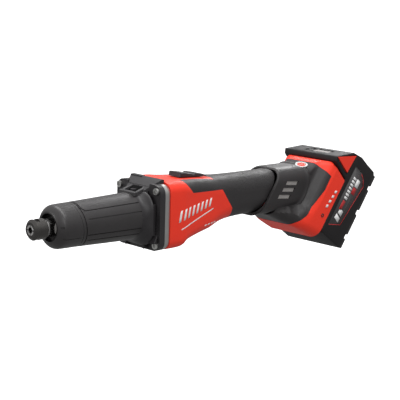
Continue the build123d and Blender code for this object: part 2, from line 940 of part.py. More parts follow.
for name, low, high in (("front", 250, pack_split), ("back", pack_split, 380)):
    with BuildPart() as pack_case:
        add(pack_blank.part)
        add(pack_hollow.part, mode=Mode.SUBTRACT)
        add(gauge_pocket.part, mode=Mode.SUBTRACT)
        block(tilt_side, (low, 150), (high, 300), -60, 60, mode=Mode.INTERSECT)
    finish(pack_case, f"pack_case_{name}", black)

bumper_spans = ((pack_low + 1.5, 190), (195.5, 221), (227, 253), (258, 271.5))
with BuildPart() as pack_bumpers:
    for low, high in bumper_spans:
        block(tilt_side, (pack_back, low), (bumper_back, high), -37, 37)
    back_edges = pack_bumpers.edges().filter_by(Axis.Y).filter_by(
        lambda edge: edge.center().dot(across) > bumper_back - 0.1
    )
    fillet(back_edges, 1.4)
finish(pack_bumpers, "pack_bumpers", black)

with BuildPart() as pack_cells:
    for t in cell_layers:
        for l in cell_rows:
            with BuildSketch(tilt_side.offset(-32.5)):
                with Locations((t, l)):
                    Circle(cell_radius)
            extrude(amount=65)
finish(pack_cells, "pack_cells", (0.1, 0.35, 0.5))

with BuildPart() as cell_holder:
    for low, high in ((-31, -24), (24, 31)):
        block(
            tilt_side,
            (317.4, pack_low + 2.8),
            (pack_back - 0.8, pack_high - 3),
            low,
            high,
        )
    for t in cell_layers:
        for l in cell_rows:
            with BuildSketch(tilt_side.offset(-32.5)):
                with Locations((t, l)):
                    Circle(cell_radius + 0.02)
            extrude(amount=65, mode=Mode.SUBTRACT)
finish(cell_holder, "cell_holder", pale)

with BuildPart() as cell_straps:
    for low, high in ((-32.9, -32.5), (32.5, 32.9)):
        for l in cell_rows:
            block(
                tilt_side,
                (cell_layers[0] - 4, l - 3),
                (cell_layers[1] + 4, l + 3),
                low,
                high,
            )
finish(cell_straps, "cell_straps", silver)

with BuildPart() as pack_board:
    block(tilt_side, (312, tower_low + 19), (313.6, 258), -18, 18)
finish(pack_board, "pack_board", green)

with BuildPart() as pack_terminals:
    for y in blade_places:
        for side in (-1, 1):
            inner, outer = sorted((y + side * 0.55, y + side * 1.15))
            block(tilt_side, (303.4, tower_low + 3), (308.6, tower_low + 18), inner, outer)
finish(pack_terminals, "pack_terminals", (0.72, 0.5, 0.2))

for name, side in (("left", -1), ("right", 1)):
    with BuildPart() as release:
        inner, outer = sorted((side * 35.2, side * 39.6))
        prism(tilt_side, button_outline, inner, outer)
        inner, outer = sorted((side * 24, side * 35.2))
        block(tilt_side, (301.9, 249.6), (306.1, 258.6), inner, outer)
        inner, outer = sorted((side * 24, side * 26.4))
        block(tilt_side, (301.9, 214), (306.1, 249.6), inner, outer)
        inner, outer = sorted((side * 26.4, side * 29.6))
        block(tilt_side, (301.9, 214), (306.1, 220), inner, outer)
    finish(release, f"release_{name}", red)

with BuildPart() as gauge_lens:
    with BuildSketch(gauge_place.offset(-1.2)):
        for column in range(4):
            with Locations((-13 + 5.5 * column, 0)):
                RectangleRounded(4, 8, 0.8)
    extrude(amount=0.8)
finish(gauge_lens, "gauge_lens", pale)

with BuildPart() as gauge_button:
    with BuildSketch(gauge_place.offset(-3)):
        with Locations((12, 0)):
            Circle(3.2)
    extrude(amount=2.8)
finish(gauge_button, "gauge_button", black)
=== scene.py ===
import json
from math import atan2, cos, hypot, pi, radians, sin

import bmesh
import bpy
from mathutils import Matrix, Vector


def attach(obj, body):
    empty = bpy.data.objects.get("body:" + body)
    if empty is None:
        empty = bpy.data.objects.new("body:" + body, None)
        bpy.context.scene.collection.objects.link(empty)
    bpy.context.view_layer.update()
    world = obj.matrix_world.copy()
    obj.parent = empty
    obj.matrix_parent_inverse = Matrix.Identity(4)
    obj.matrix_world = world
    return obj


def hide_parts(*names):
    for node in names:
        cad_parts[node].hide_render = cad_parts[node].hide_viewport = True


# Cordless straight die grinder. Metres. X runs back along the spindle from the mouth of
# the collet, Z is up, and the tool's left side is -Y.

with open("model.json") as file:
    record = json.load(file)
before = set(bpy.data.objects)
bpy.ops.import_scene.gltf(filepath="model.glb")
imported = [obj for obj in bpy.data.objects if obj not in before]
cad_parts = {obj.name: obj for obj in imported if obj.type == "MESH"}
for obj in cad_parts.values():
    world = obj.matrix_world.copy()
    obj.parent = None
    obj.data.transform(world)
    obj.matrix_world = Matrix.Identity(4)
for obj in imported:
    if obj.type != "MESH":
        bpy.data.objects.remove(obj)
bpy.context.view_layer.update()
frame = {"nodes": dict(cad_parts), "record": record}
mm = 0.001
scene = bpy.context.scene

# The pack leans: "across" points out of its front towards its back, "along" up its rails.
TILT = radians(35.5)
ACROSS = Vector((cos(TILT), 0, -sin(TILT)))
ALONG = Vector((sin(TILT), 0, cos(TILT)))


def tilted(across, along, y=0.0):
    """A point in metres from millimetres across, along and sideways of the pack."""
    return (ACROSS * across + ALONG * along + Vector((0, y, 0))) * mm


SIDES = (("left", -1), ("right", 1))
# The point that the camera and most of the lamps aim at.
TOOL_MIDDLE = Vector((0.2, 0, 0))


# ---------------------------------------------------------------- camera
CAMERA_TURN, CAMERA_RISE, CAMERA_ROLL = -43.3, 10.8, 1.5
CAMERA_DISTANCE = 1.25
CAMERA_LENS, CAMERA_SENSOR = 110.4, 36
CAMERA_SHIFT = (0.0225, 0.016)


def place_camera():
    """A long lens low at the tool's front left, with the tool just off the middle."""
    azimuth, elevation, roll = radians(CAMERA_TURN), radians(CAMERA_RISE), radians(CAMERA_ROLL)
    back = Vector((sin(azimuth) * cos(elevation), -cos(azimuth) * cos(elevation), sin(elevation)))
    level = Vector((cos(azimuth), sin(azimuth), 0))
    upright = back.cross(level)
    right = cos(roll) * level + sin(roll) * upright
    up = -sin(roll) * level + cos(roll) * upright
    data = bpy.data.cameras.new("camera")
    data.lens = CAMERA_LENS
    data.sensor_width = CAMERA_SENSOR
    data.shift_x, data.shift_y = CAMERA_SHIFT
    data.clip_start, data.clip_end = 0.05, 50
    camera = bpy.data.objects.new("camera", data)
    turn = Matrix((right, up, back)).transposed().to_4x4()
    camera.matrix_world = Matrix.Translation(TOOL_MIDDLE + back * CAMERA_DISTANCE) @ turn
    scene.collection.objects.link(camera)
    scene.camera = camera


place_camera()


# ---------------------------------------------------------------- light and floor
# Each lamp's name, place, aim, width and depth, and power.
LAMPS = (
    ("overhead", (0.15, 0.0, 1.0), TOOL_MIDDLE, (1.5, 0.35), 9),
    ("front_left", (-0.6, -1.2, 0.75), TOOL_MIDDLE, (0.35, 0.5), 4),
    ("nose", (-1.0, 0.5, 0.35), (0.02, 0, 0), (0.3, 0.3), 2.5),
    ("rear", (1.2, 0.6, 0.7), TOOL_MIDDLE, (0.4, 0.4), 4),
)
# The sky brightens while its direction's Z rises from low to high.
SKY_LOW, SKY_HIGH = -0.1, 0.95
SKY_DIM, SKY_BRIGHT = 0.34, 0.9
FLOOR_HALF, FLOOR_HEIGHT = 45, -0.4
FLOOR_TONE, FLOOR_ROUGHNESS, FLOOR_GLOW = 0.9, 0.9, 0.75


def area_light(name, place, aim, size, power):
    """A white rectangular lamp that points at its aim."""
    data = bpy.data.lights.new(name, "AREA")
    data.shape = "RECTANGLE"
    data.size, data.size_y = size
    data.energy = power
    light = bpy.data.objects.new(name, data)
    light.location = place
    direction = Vector(aim) - Vector(place)
    light.rotation_mode = "QUATERNION"
    light.rotation_quaternion = direction.to_track_quat("-Z", "Y")
    scene.collection.objects.link(light)


def studio_world():
    """White overhead, greyer towards the horizon and below."""
    world = bpy.data.worlds.new("studio")
    world.use_nodes = True
    tree = world.node_tree
    direction = tree.nodes.new("ShaderNodeTexCoord").outputs["Generated"]
    split = tree.nodes.new("ShaderNodeSeparateXYZ")
    tree.links.new(direction, split.inputs[0])
    ramp = tree.nodes.new("ShaderNodeMapRange")
    ramp.interpolation_type = "SMOOTHSTEP"
    ramp.inputs["From Min"].default_value = SKY_LOW
    ramp.inputs["From Max"].default_value = SKY_HIGH
    ramp.inputs["To Min"].default_value = SKY_DIM
    ramp.inputs["To Max"].default_value = SKY_BRIGHT
    tree.links.new(split.outputs["Z"], ramp.inputs["Value"])
    tree.links.new(ramp.outputs["Result"], tree.nodes["Background"].inputs["Strength"])
    tree.nodes["Background"].inputs["Color"].default_value = (1, 1, 1, 1)
    scene.world = world


def build_stage():
    """A wide white sweep well below the tool, and soft boxes round it."""
    bm = bmesh.new()
    bmesh.ops.create_grid(bm, x_segments=1, y_segments=1, size=FLOOR_HALF)
    mesh = bpy.data.meshes.new("floor")
    bm.to_mesh(mesh)
    bm.free()
    floor = bpy.data.objects.new("floor", mesh)
    floor.location = (TOOL_MIDDLE.x, 0, FLOOR_HEIGHT)
    floor.visible_diffuse = False
    floor.visible_glossy = False
    scene.collection.objects.link(floor)
    material = bpy.data.materials.new("floor_white")
    material.use_nodes = True
    shader = material.node_tree.nodes["Principled BSDF"]
    shader.inputs["Base Color"].default_value = (FLOOR_TONE, FLOOR_TONE, FLOOR_TONE, 1)
    shader.inputs["Roughness"].default_value = FLOOR_ROUGHNESS
    shader.inputs["Emission Color"].default_value = (1, 1, 1, 1)
    shader.inputs["Emission Strength"].default_value = FLOOR_GLOW
    mesh.materials.append(material)
    for lamp in LAMPS:
        area_light(*lamp)


studio_world()
build_stage()
scene.view_settings.view_transform = "Standard"
scene.view_settings.look = "None"


# ---------------------------------------------------------------- shared node groups
def node_group(name, inputs, outputs):
    """An empty shader node group with the named sockets."""
    tree = bpy.data.node_groups.new(name, "ShaderNodeTree")
    for socket, kind, value in inputs:
        made = tree.interface.new_socket(name=socket, in_out="INPUT", socket_type=kind)
        made.default_value = value
    for socket, kind in outputs:
        tree.interface.new_socket(name=socket, in_out="OUTPUT", socket_type=kind)
    return tree, tree.nodes.new("NodeGroupInput"), tree.nodes.new("NodeGroupOutput")


def noise_node(tree, vector, scale, detail=2.0, roughness=0.5):
    """Noise at a scale that is a number or another node's output."""
    noise = tree.nodes.new("ShaderNodeTexNoise")
    noise.inputs["Detail"].default_value = detail
    noise.inputs["Roughness"].default_value = roughness
    tree.links.new(vector, noise.inputs["Vector"])
    if isinstance(scale, (int, float)):
        noise.inputs["Scale"].default_value = scale
    else:
        tree.links.new(scale, noise.inputs["Scale"])
    return noise.outputs["Fac"]


def math_node(tree, operation, first, second=None):
    """One sum on numbers or on other nodes' outputs."""
    node = tree.nodes.new("ShaderNodeMath")
    node.operation = operation
    for index, value in enumerate((first, second)):
        if value is None:
            continue
        if isinstance(value, (int, float)):
            node.inputs[index].default_value = value
        else:
            tree.links.new(value, node.inputs[index])
    return node.outputs[0]


# Grain of the moulded pieces, in pits per metre, and its depth in metres.
PLASTIC_GRAIN, RUBBER_GRAIN = 2600.0, 3200.0
GRAIN_DEPTH, FINE_DEPTH, GLOSS_DEPTH = 0.00006, 0.00003, 0.00002
# Noise seldom leaves this range, so it is stretched from here to the values wanted.
NOISE_LOW, NOISE_HIGH = 0.3, 0.7


def spark_texture():
    """The fine pebbled grain of moulded plastic: a height, and a slow tone drift."""
    tree, given, out = node_group(
        "spark_texture",
        [("Grain per metre", "NodeSocketFloat", PLASTIC_GRAIN),
         ("Drift per metre", "NodeSocketFloat", 60.0)],
        [("Height", "NodeSocketFloat"), ("Drift", "NodeSocketFloat")],
    )
    place = tree.nodes.new("ShaderNodeTexCoord").outputs["Object"]
    fine = noise_node(tree, place, given.outputs["Grain per metre"], 3.0, 0.6)
    slow = noise_node(tree, place, given.outputs["Drift per metre"], 3.0, 0.55)
    tree.links.new(fine, out.inputs["Height"])
    tree.links.new(slow, out.inputs["Drift"])
    return tree


SPARK = spark_texture()


def new_material(name):
    """A material with its node tree and its shader."""
    material = bpy.data.materials.new(name)
    material.use_nodes = True
    tree = material.node_tree
    return material, tree, tree.nodes["Principled BSDF"]


def colour_mix(tree, factor, dark, light):
    """A blend between two colours."""
    mix = tree.nodes.new("ShaderNodeMix")
    mix.data_type = "RGBA"
    tree.links.new(factor, mix.inputs["Factor"])
    mix.inputs["A"].default_value = (*dark, 1)
    mix.inputs["B"].default_value = (*light, 1)
    return mix.outputs["Result"]


def range_node(tree, value, low, high):
    """A noise value stretched over the range from low to high."""
    node = tree.nodes.new("ShaderNodeMapRange")
    tree.links.new(value, node.inputs["Value"])
    node.inputs["From Min"].default_value = NOISE_LOW
    node.inputs["From Max"].default_value = NOISE_HIGH
    node.inputs["To Min"].default_value = low
    node.inputs["To Max"].default_value = high
    return node.outputs["Result"]


def bump_node(tree, height, strength, distance):
    """A shading normal from a height."""
    bump = tree.nodes.new("ShaderNodeBump")
    bump.inputs["Strength"].default_value = strength
    bump.inputs["Distance"].default_value = distance
    tree.links.new(height, bump.inputs["Height"])
    return bump.outputs["Normal"]


def moulded(name, dark, light, rough, grain=PLASTIC_GRAIN, depth=GRAIN_DEPTH, strength=0.35,
            specular=0.5):
    """Moulded plastic or rubber: pebbled grain, slight tone and gloss drift."""
    material, tree, shader = new_material(name)
    group = tree.nodes.new("ShaderNodeGroup")
    group.node_tree = SPARK
    group.inputs["Grain per metre"].default_value = grain
    drift = group.outputs["Drift"]
    tree.links.new(colour_mix(tree, drift, dark, light), shader.inputs["Base Color"])
    tree.links.new(range_node(tree, drift, *rough), shader.inputs["Roughness"])
    normal = bump_node(tree, group.outputs["Height"], strength, depth)
    tree.links.new(normal, shader.inputs["Normal"])
    shader.inputs["Specular IOR Level"].default_value = specular
    return material


# How much finer the noise in turned metal is along the spindle than round it.
RING_STRETCH = 12


def turned_metal(name, dark, light, rough, grain=400.0):
    """Turned or ground metal: fine rings about the spindle, slight tone drift."""
    material, tree, shader = new_material(name)
    place = tree.nodes.new("ShaderNodeTexCoord").outputs["Object"]
    stretch = tree.nodes.new("ShaderNodeMapping")
    stretch.inputs["Scale"].default_value = (grain * RING_STRETCH, grain, grain)
    tree.links.new(place, stretch.inputs["Vector"])
    rings = noise_node(tree, stretch.outputs["Vector"], 1.0, 2.0)
    slow = noise_node(tree, place, 150.0, 3.0)
    tree.links.new(colour_mix(tree, slow, dark, light), shader.inputs["Base Color"])
    tree.links.new(range_node(tree, rings, *rough), shader.inputs["Roughness"])
    tree.links.new(bump_node(tree, rings, 0.2, GLOSS_DEPTH), shader.inputs["Normal"])
    shader.inputs["Metallic"].default_value = 1.0
    return material


black_nylon = moulded("black_nylon", (0.017, 0.015, 0.017), (0.024, 0.022, 0.024), (0.40, 0.52))
grip_rubber = moulded(
    "grip_rubber", (0.020, 0.018, 0.019), (0.030, 0.027, 0.028), (0.42, 0.54), RUBBER_GRAIN
)
neck_rubber = moulded(
    "neck_rubber", (0.024, 0.022, 0.023), (0.034, 0.031, 0.032), (0.34, 0.44), 3600.0, FINE_DEPTH
)
pack_nylon = moulded(
    "pack_nylon", (0.008, 0.007, 0.008), (0.013, 0.011, 0.012), (0.5, 0.62), specular=0.3
)
# Painted shade: near-black dull material for the box that darkens the inside of the scoop.
painted_shade_black = moulded(
    "painted_shade_black", (0.002, 0.002, 0.002), (0.004, 0.004, 0.004), (0.8, 0.9), specular=0.1
)
dark_gloss = moulded(
    "dark_gloss", (0.05, 0.048, 0.05), (0.06, 0.058, 0.06), (0.2, 0.3), 1500.0, GLOSS_DEPTH
)
red_nylon = moulded(
    "red_nylon", (0.90, 0.036, 0.014), (0.96, 0.044, 0.018), (0.42, 0.52), 1800.0, GLOSS_DEPTH,
    0.25, specular=0.35,
)
head_rubber = moulded(
    "head_rubber", (0.016, 0.014, 0.015), (0.023, 0.020, 0.021), (0.40, 0.52), 3000.0
)
label_red = moulded("label_red", (0.42, 0.012, 0.016), (0.5, 0.018, 0.02), (0.35, 0.45))
grey_plastic = moulded("grey_plastic", (0.26, 0.24, 0.23), (0.32, 0.30, 0.29), (0.4, 0.5))
pale_plastic = moulded("pale_plastic", (0.30, 0.28, 0.27), (0.38, 0.36, 0.35), (0.4, 0.55))
white_print = moulded("white_print", (0.82, 0.82, 0.82), (0.88, 0.88, 0.88), (0.45, 0.55))
board_green = moulded("board_green", (0.02, 0.16, 0.06), (0.03, 0.22, 0.08), (0.35, 0.45))
wire_red = moulded("wire_red", (0.35, 0.02, 0.02), (0.45, 0.03, 0.03), (0.4, 0.5))
cell_wrap = moulded("cell_wrap", (0.03, 0.14, 0.32), (0.04, 0.18, 0.38), (0.3, 0.4))
bright_steel = turned_metal("bright_steel", (0.55, 0.54, 0.53), (0.68, 0.67, 0.66), (0.16, 0.3))
black_steel = turned_metal("black_steel", (0.075, 0.072, 0.07), (0.12, 0.115, 0.11), (0.2, 0.36))
bezel_steel = turned_metal("bezel_steel", (0.2, 0.2, 0.2), (0.28, 0.28, 0.28), (0.3, 0.42))
zinc_steel = turned_metal("zinc_steel", (0.5, 0.5, 0.49), (0.62, 0.62, 0.6), (0.25, 0.4))
cast_plate = turned_metal("cast_plate", (0.42, 0.42, 0.41), (0.52, 0.52, 0.51), (0.38, 0.5), 900.0)
lamination = turned_metal("lamination", (0.2, 0.2, 0.21), (0.3, 0.3, 0.31), (0.35, 0.5))
copper = turned_metal("copper", (0.6, 0.25, 0.1), (0.72, 0.33, 0.15), (0.25, 0.4))
contact_brass = turned_metal("contact_brass", (0.7, 0.48, 0.2), (0.8, 0.58, 0.27), (0.2, 0.3))

SLOT_LOOKS = {
    "black_nylon": black_nylon,
    "red_nylon": red_nylon,
    "grip_rubber": grip_rubber,
    "neck_rubber": neck_rubber,
    "black_steel": black_steel,
    "bright_steel": bright_steel,
    "zinc_screw": zinc_steel,
    "cast_plate": cast_plate,
    "black_casting": black_nylon,
    "lamination": lamination,
    "magnet": lamination,
    "copper_wire": copper,
    "board_green": board_green,
    "pale_plastic": pale_plastic,
    "contact_brass": contact_brass,
    "cell_wrap": cell_wrap,
    "wire_sleeve": wire_red,
    "seal_rubber": grip_rubber,
    "bezel_silver": bezel_steel,
    "gauge_window": grey_plastic,
}


def dress_cad_nodes():
    """Give every CAD piece that stays in view its finish."""
    for part in frame["record"]["subparts"]:
        node = frame["nodes"][part["node"]]
        node.data.materials.clear()
        node.data.materials.append(SLOT_LOOKS[part["material_slot"]])
        for face in node.data.polygons:
            face.material_index = 0


dress_cad_nodes()


# ---------------------------------------------------------------- modelling helpers
# Steps round a ring, and those in half its top, in a corner and down a side.
RING = 64
HALF = RING // 2
TOP_STEPS, ARC_STEPS, SIDE_STEPS = 4, 8, 8
# Points closer than this, in metres, count as one.
TOUCHING = 1e-6
SOFT_ANGLE = radians(38)


def middle_of(face):
    """A face's middle in millimetres."""
    return face.calc_center_median() / mm


def smooth(share):
    """A share from 0 to 1, eased at both ends."""
    return share * share * (3 - 2 * share)


def ring_point(half, low, high, corner, step):
    """Y and Z at a step round a rounded rectangle, from its top middle down the left."""
    side = -1 if step <= HALF else 1
    step = step if step <= HALF else RING - step
    flat = half - corner
    middle = (low + high) / 2
    upright = (high - low) / 2 - corner
    if step <= TOP_STEPS:
        y, z = flat * step / TOP_STEPS, high
    elif step <= TOP_STEPS + ARC_STEPS:
        angle = (step - TOP_STEPS) / ARC_STEPS * pi / 2
        y, z = flat + corner * sin(angle), middle + upright + corner * cos(angle)
    elif step <= TOP_STEPS + ARC_STEPS + SIDE_STEPS:
        share = (step - TOP_STEPS - ARC_STEPS) / SIDE_STEPS
        y, z = half, middle + upright - 2 * upright * share
    elif step <= HALF - TOP_STEPS:
        angle = (step - TOP_STEPS - ARC_STEPS - SIDE_STEPS) / ARC_STEPS * pi / 2
        y, z = flat + corner * cos(angle), middle - upright - corner * sin(angle)
    else:
        y, z = flat * (HALF - step) / TOP_STEPS, low
    return side * y, z


def between(stations, place):
    """Values at a place along a list of stations, eased through each."""
    last = len(stations) - 1
    index = 0
    while index < last - 1 and place > stations[index + 1][0]:
        index += 1
    start, end = stations[index], stations[index + 1]
    span = end[0] - start[0]
    share = min(max((place - start[0]) / span, 0), 1)

    def slopes(number):
        before, after = stations[max(number - 1, 0)], stations[min(number + 1, last)]
        run = after[0] - before[0]
        return [(q - p) / run * span for p, q in zip(before[1:], after[1:])]

    ease = smooth(share)
    lead = share * (1 - share) ** 2
    trail = share * share * (share - 1)
    values = []
    for p, q, u, v in zip(start[1:], end[1:], slopes(index), slopes(index + 1)):
        values.append(p + (q - p) * ease + u * lead + v * trail)
    return values


def wrap(rows, point):
    """A tube of quads: point(row, step) gives each corner in millimetres."""
    bm = bmesh.new()
    bmesh.ops.create_grid(bm, x_segments=RING, y_segments=rows, size=0.5)
    for vert in bm.verts:
        step = round((vert.co.x + 0.5) * RING)
        row = round((vert.co.y + 0.5) * rows)
        vert.co = Vector(point(row, step)) * mm
    bmesh.ops.remove_doubles(bm, verts=bm.verts, dist=TOUCHING)
    return bm


def sheet(columns, rows, point):
    """A patch of quads: point(u, v) with both shares from 0 to 1 gives each corner."""
    bm = bmesh.new()
    bmesh.ops.create_grid(bm, x_segments=columns, y_segments=rows, size=0.5)
    for vert in bm.verts:
        vert.co = Vector(point(vert.co.x + 0.5, vert.co.y + 0.5)) * mm
    return bm


def cut(bm, point, normal, pick=None):
    """New edges where a plane crosses the picked faces. The point is in millimetres."""
    faces = [f for f in bm.faces if pick is None or pick(middle_of(f))]
    edges = {e for f in faces for e in f.edges}
    verts = {v for f in faces for v in f.verts}
    bmesh.ops.bisect_plane(
        bm,
        geom=[*verts, *edges, *faces],
        dist=TOUCHING,
        plane_co=Vector(point) * mm,
        plane_no=Vector(normal),
    )


def cut_side_line(bm, start, end, pick=None):
    """A cut along a straight line of the side view, given as (x, z) millimetres."""
    run = (end[0] - start[0], end[1] - start[1])
    cut(bm, (start[0], 0, start[1]), (run[1], 0, -run[0]), pick)


def inside_outline(outline, x, z):
    """True where a side-view point is inside a convex or concave outline."""
    found = False
    for (x0, z0), (x1, z1) in zip(outline, outline[1:] + outline[:1]):
        if (z0 > z) != (z1 > z) and x < (x1 - x0) * (z - z0) / (z1 - z0) + x0:
            found = not found
    return found


def open_window(bm, outline, pick, margin=3):
    """Cut a side-view outline through the picked faces and take out what's inside."""
    xs = [p[0] for p in outline]
    zs = [p[1] for p in outline]

    def near(centre):
        wide = min(xs) - margin < centre.x < max(xs) + margin
        return wide and min(zs) - margin < centre.z < max(zs) + margin and pick(centre)

    for start, end in zip(outline, outline[1:] + outline[:1]):
        cut_side_line(bm, start, end, near)
    drop = []
    for face in bm.faces:
        centre = middle_of(face)
        if pick(centre) and inside_outline(outline, centre.x, centre.z):
            drop.append(face)
    bmesh.ops.delete(bm, geom=drop, context="FACES")


def keep_faces(bm, wanted):
    """Drop every face whose middle, in millimetres, isn't wanted."""
    drop = [f for f in bm.faces if not wanted(middle_of(f))]
    bmesh.ops.delete(bm, geom=drop, context="FACES")


def face_out(bm, centre=lambda x: 0):
    """Turn the normals away from a line along the tool, whose height in metres is given."""
    bmesh.ops.recalc_face_normals(bm, faces=bm.faces)
    total = 0.0
    for face in bm.faces:
        middle = face.calc_center_median()
        outward = Vector((0, middle.y, middle.z - centre(middle.x)))
        total += face.normal.dot(outward) * face.calc_area()
    if total < 0:
        bmesh.ops.reverse_faces(bm, faces=bm.faces)


def finish_piece(bm, name, material, body, nodes=(), thick=0.0, edge=0.0, steps=2):
    """Make the object, with an inward wall and softened edges, riding on its body."""
    for face in bm.faces:
        face.smooth = True
    mesh = bpy.data.meshes.new(name)
    bm.to_mesh(mesh)
    bm.free()
    mesh.materials.append(material)
    piece = bpy.data.objects.new(name, mesh)
    scene.collection.objects.link(piece)
    if thick:
        wall = piece.modifiers.new("wall", "SOLIDIFY")
        wall.thickness = thick * mm
        wall.offset = -1
        wall.use_quality_normals = True
    if edge:
        soft = piece.modifiers.new("soft_edges", "BEVEL")
        soft.width = edge * mm
        soft.segments = steps
        soft.limit_method = "ANGLE"
        soft.angle_limit = SOFT_ANGLE
        soft.harden_normals = True
        soft.use_clamp_overlap = True
    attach(piece, body)
    if nodes:
        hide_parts(*nodes)


def sink(bm, faces, depth, direction=None):
    """Push faces in by a depth in millimetres, with walls round them.

    Without a direction they move straight towards the spindle's axis.
    """
    made = bmesh.ops.extrude_face_region(bm, geom=faces)
    moved = [v for v in made["geom"] if isinstance(v, bmesh.types.BMVert)]
    for vert in moved:
        if direction is not None:
            vert.co += direction * depth * mm
        else:
            radius = hypot(vert.co.y, vert.co.z)
            vert.co.y *= 1 - depth * mm / radius
            vert.co.z *= 1 - depth * mm / radius
    bmesh.ops.delete(bm, geom=faces, context="FACES")


def solid(outline, low, high, place):
    """A straight prism of a flat outline, between two distances out of its plane."""
    bm = bmesh.new()
    ring = [bm.verts.new(Vector(place(a, b, low)) * mm) for a, b in outline]
    face = bmesh.ops.contextual_create(bm, geom=ring)["faces"][0]
    made = bmesh.ops.extrude_face_region(bm, geom=[face], use_keep_orig=True)
    shift = (Vector(place(0, 0, high)) - Vector(place(0, 0, low))) * mm
    moved = [v for v in made["geom"] if isinstance(v, bmesh.types.BMVert)]
    bmesh.ops.translate(bm, verts=moved, vec=shift)
    bmesh.ops.recalc_face_normals(bm, faces=bm.faces)
    return bm


def side_solid(outline, inner, outer, side, place):
    """A prism on one side of the tool, between two distances from its middle plane."""
    low, high = sorted((side * inner, side * outer))
    return solid(outline, low, high, place)


def round_outline(x, z, radius, count):
    """The corners of a many-sided circle."""
    angles = [2 * pi * step / count for step in range(count)]
    return tuple((x + radius * cos(angle), z + radius * sin(angle)) for angle in angles)


def side_view(x, z, y):
    """Places an outline that is drawn as seen from the side."""
    return (x, y, z)


def plan_view(x, y, z):
    """Places an outline that is drawn as seen from above."""
    return (x, y, z)


def tilt_view(across, along, y):
    """Places an outline that is drawn from the side, square to the leaning pack."""
    return tuple(tilted(across, along, y) / mm)


def tilt_of(centre):
    """Across and along of a world point in millimetres."""
    return centre.dot(ACROSS), centre.dot(ALONG)


def cut_tilt_line(bm, start, end, pick=None):
    """A cut along a straight line given across and along the pack."""
    first = Vector(tilt_view(*start, 0))
    run = Vector(tilt_view(*end, 0)) - first
    cut(bm, first, run.cross(Vector((0, 1, 0))), pick)


def join(bm, other):
    """Add another bmesh's faces to this one."""
    mesh = bpy.data.meshes.new("joining")
    other.to_mesh(mesh)
    other.free()
    bm.from_mesh(mesh)
    bpy.data.meshes.remove(mesh)


# ---------------------------------------------------------------- neck
JOINT_X, JOINT_LEAN = 45.0, -0.135
NECK_END = 118.4
CAP_PROFILE = (
    (20.9, 13.3), (20.3, 13.5), (20.0, 14.1), (20.1, 14.9), (20.6, 15.8), (21.6, 17.1),
    (23.2, 18.8), (24.6, 19.9), (26.0, 20.6), (28.0, 21.0), (32.0, 21.15), (38.0, 21.25),
)
CAP_RADIUS, SLEEVE_RADIUS = 21.3, 21.4
# The mean radius that turns a groove's width into an angle.
NECK_RADIUS = 22.0
GROOVE_END = 115.6
# Each long groove's angle above level, and where it starts.
SLEEVE_GROOVES = ((20, 52), (-21, 51), (-38, 53))


def joint_x(z):
    """Where the nose cap meets the sleeve, which leans with height."""
    return JOINT_X + JOINT_LEAN * z


def side_angle(centre, side):
    """Angle above level, seen along the spindle, on the given side."""
    return atan2(centre.z, side * centre.y)


def side_groove(bm, angle, width, start, end, depth):
    """A straight groove along the sides of a round shell, at an angle above level."""
    angle = radians(angle)
    half = width / 2 / NECK_RADIUS
    for side in (-1, 1):
        def close(centre, side=side, margin=9):
            near = abs(side_angle(centre, side) - angle) < 0.25
            return near and centre.y * side > 0 and start - margin < centre.x < end + margin

        for edge in (angle - half, angle + half):
            cut(bm, (0, 0, 0), (0, -side * sin(edge), cos(edge)), close)
        for x in (start, end):
            cut(bm, (x, 0, 0), (1, 0, 0), close)
        strip = []
        for face in bm.faces:
            centre = middle_of(face)
            inside = close(centre) and start < centre.x < end
            if inside and abs(side_angle(centre, side) - angle) < half:
                strip.append(face)
        sink(bm, strip, depth)


def build_nose_cap():
    """The rounded cap at the front, with a fine seam and a notch on each side."""
    last = len(CAP_PROFILE)

    def point(row, step):
        angle = 2 * pi * step / RING
        if row < last:
            x, radius = CAP_PROFILE[row]
        else:
            x, radius = joint_x(CAP_RADIUS * cos(angle)), CAP_RADIUS
        return (x, -radius * sin(angle), radius * cos(angle))

    bm = wrap(last, point)
    face_out(bm)
    side_groove(bm, angle=-26, width=0.55, start=24.0, end=44.0, depth=0.5)
    side_groove(bm, angle=7, width=2.2, start=21.8, end=24.4, depth=1.2)
    finish_piece(bm, "nose_cap_shell", neck_rubber, "body", ("nose_cap",), 1.6, 0.35)


def sleeve_radius(x):
    """The sleeve widens a little from its front to its rear."""
    return 21.35 + 1.95 * (x - 46) / 64


def build_neck_sleeve():
    """The long sleeve: a collar, a grooved ring behind it, and long grooves."""
    collar = 3.6
    steps = ((0.3, 0.0), (collar - 0.4, 0.0), (collar - 0.2, -0.8), (collar + 0.5, -0.8),
             (collar + 0.7, 0.0))
    runs = 26
    last = len(steps) + runs - 1

    def point(row, step):
        angle = 2 * pi * step / RING
        front = joint_x(SLEEVE_RADIUS * cos(angle))
        if row < len(steps):
            x, lift = front + steps[row][0], steps[row][1]
        else:
            start = front + steps[-1][0]
            x, lift = start + (NECK_END - start) * (row - len(steps) + 1) / runs, 0.0
        radius = sleeve_radius(x) + lift
        return (x, -radius * sin(angle), radius * cos(angle))

    bm = wrap(last, point)
    face_out(bm)
    build_top_panel(bm)
    for angle, start in SLEEVE_GROOVES:
        side_groove(bm, angle, width=1.0, start=start, end=GROOVE_END, depth=0.9)
    finish_piece(
        bm, "neck_sleeve_shell", neck_rubber, "body", ("neck_sleeve",), 2.2, 0.2
    )


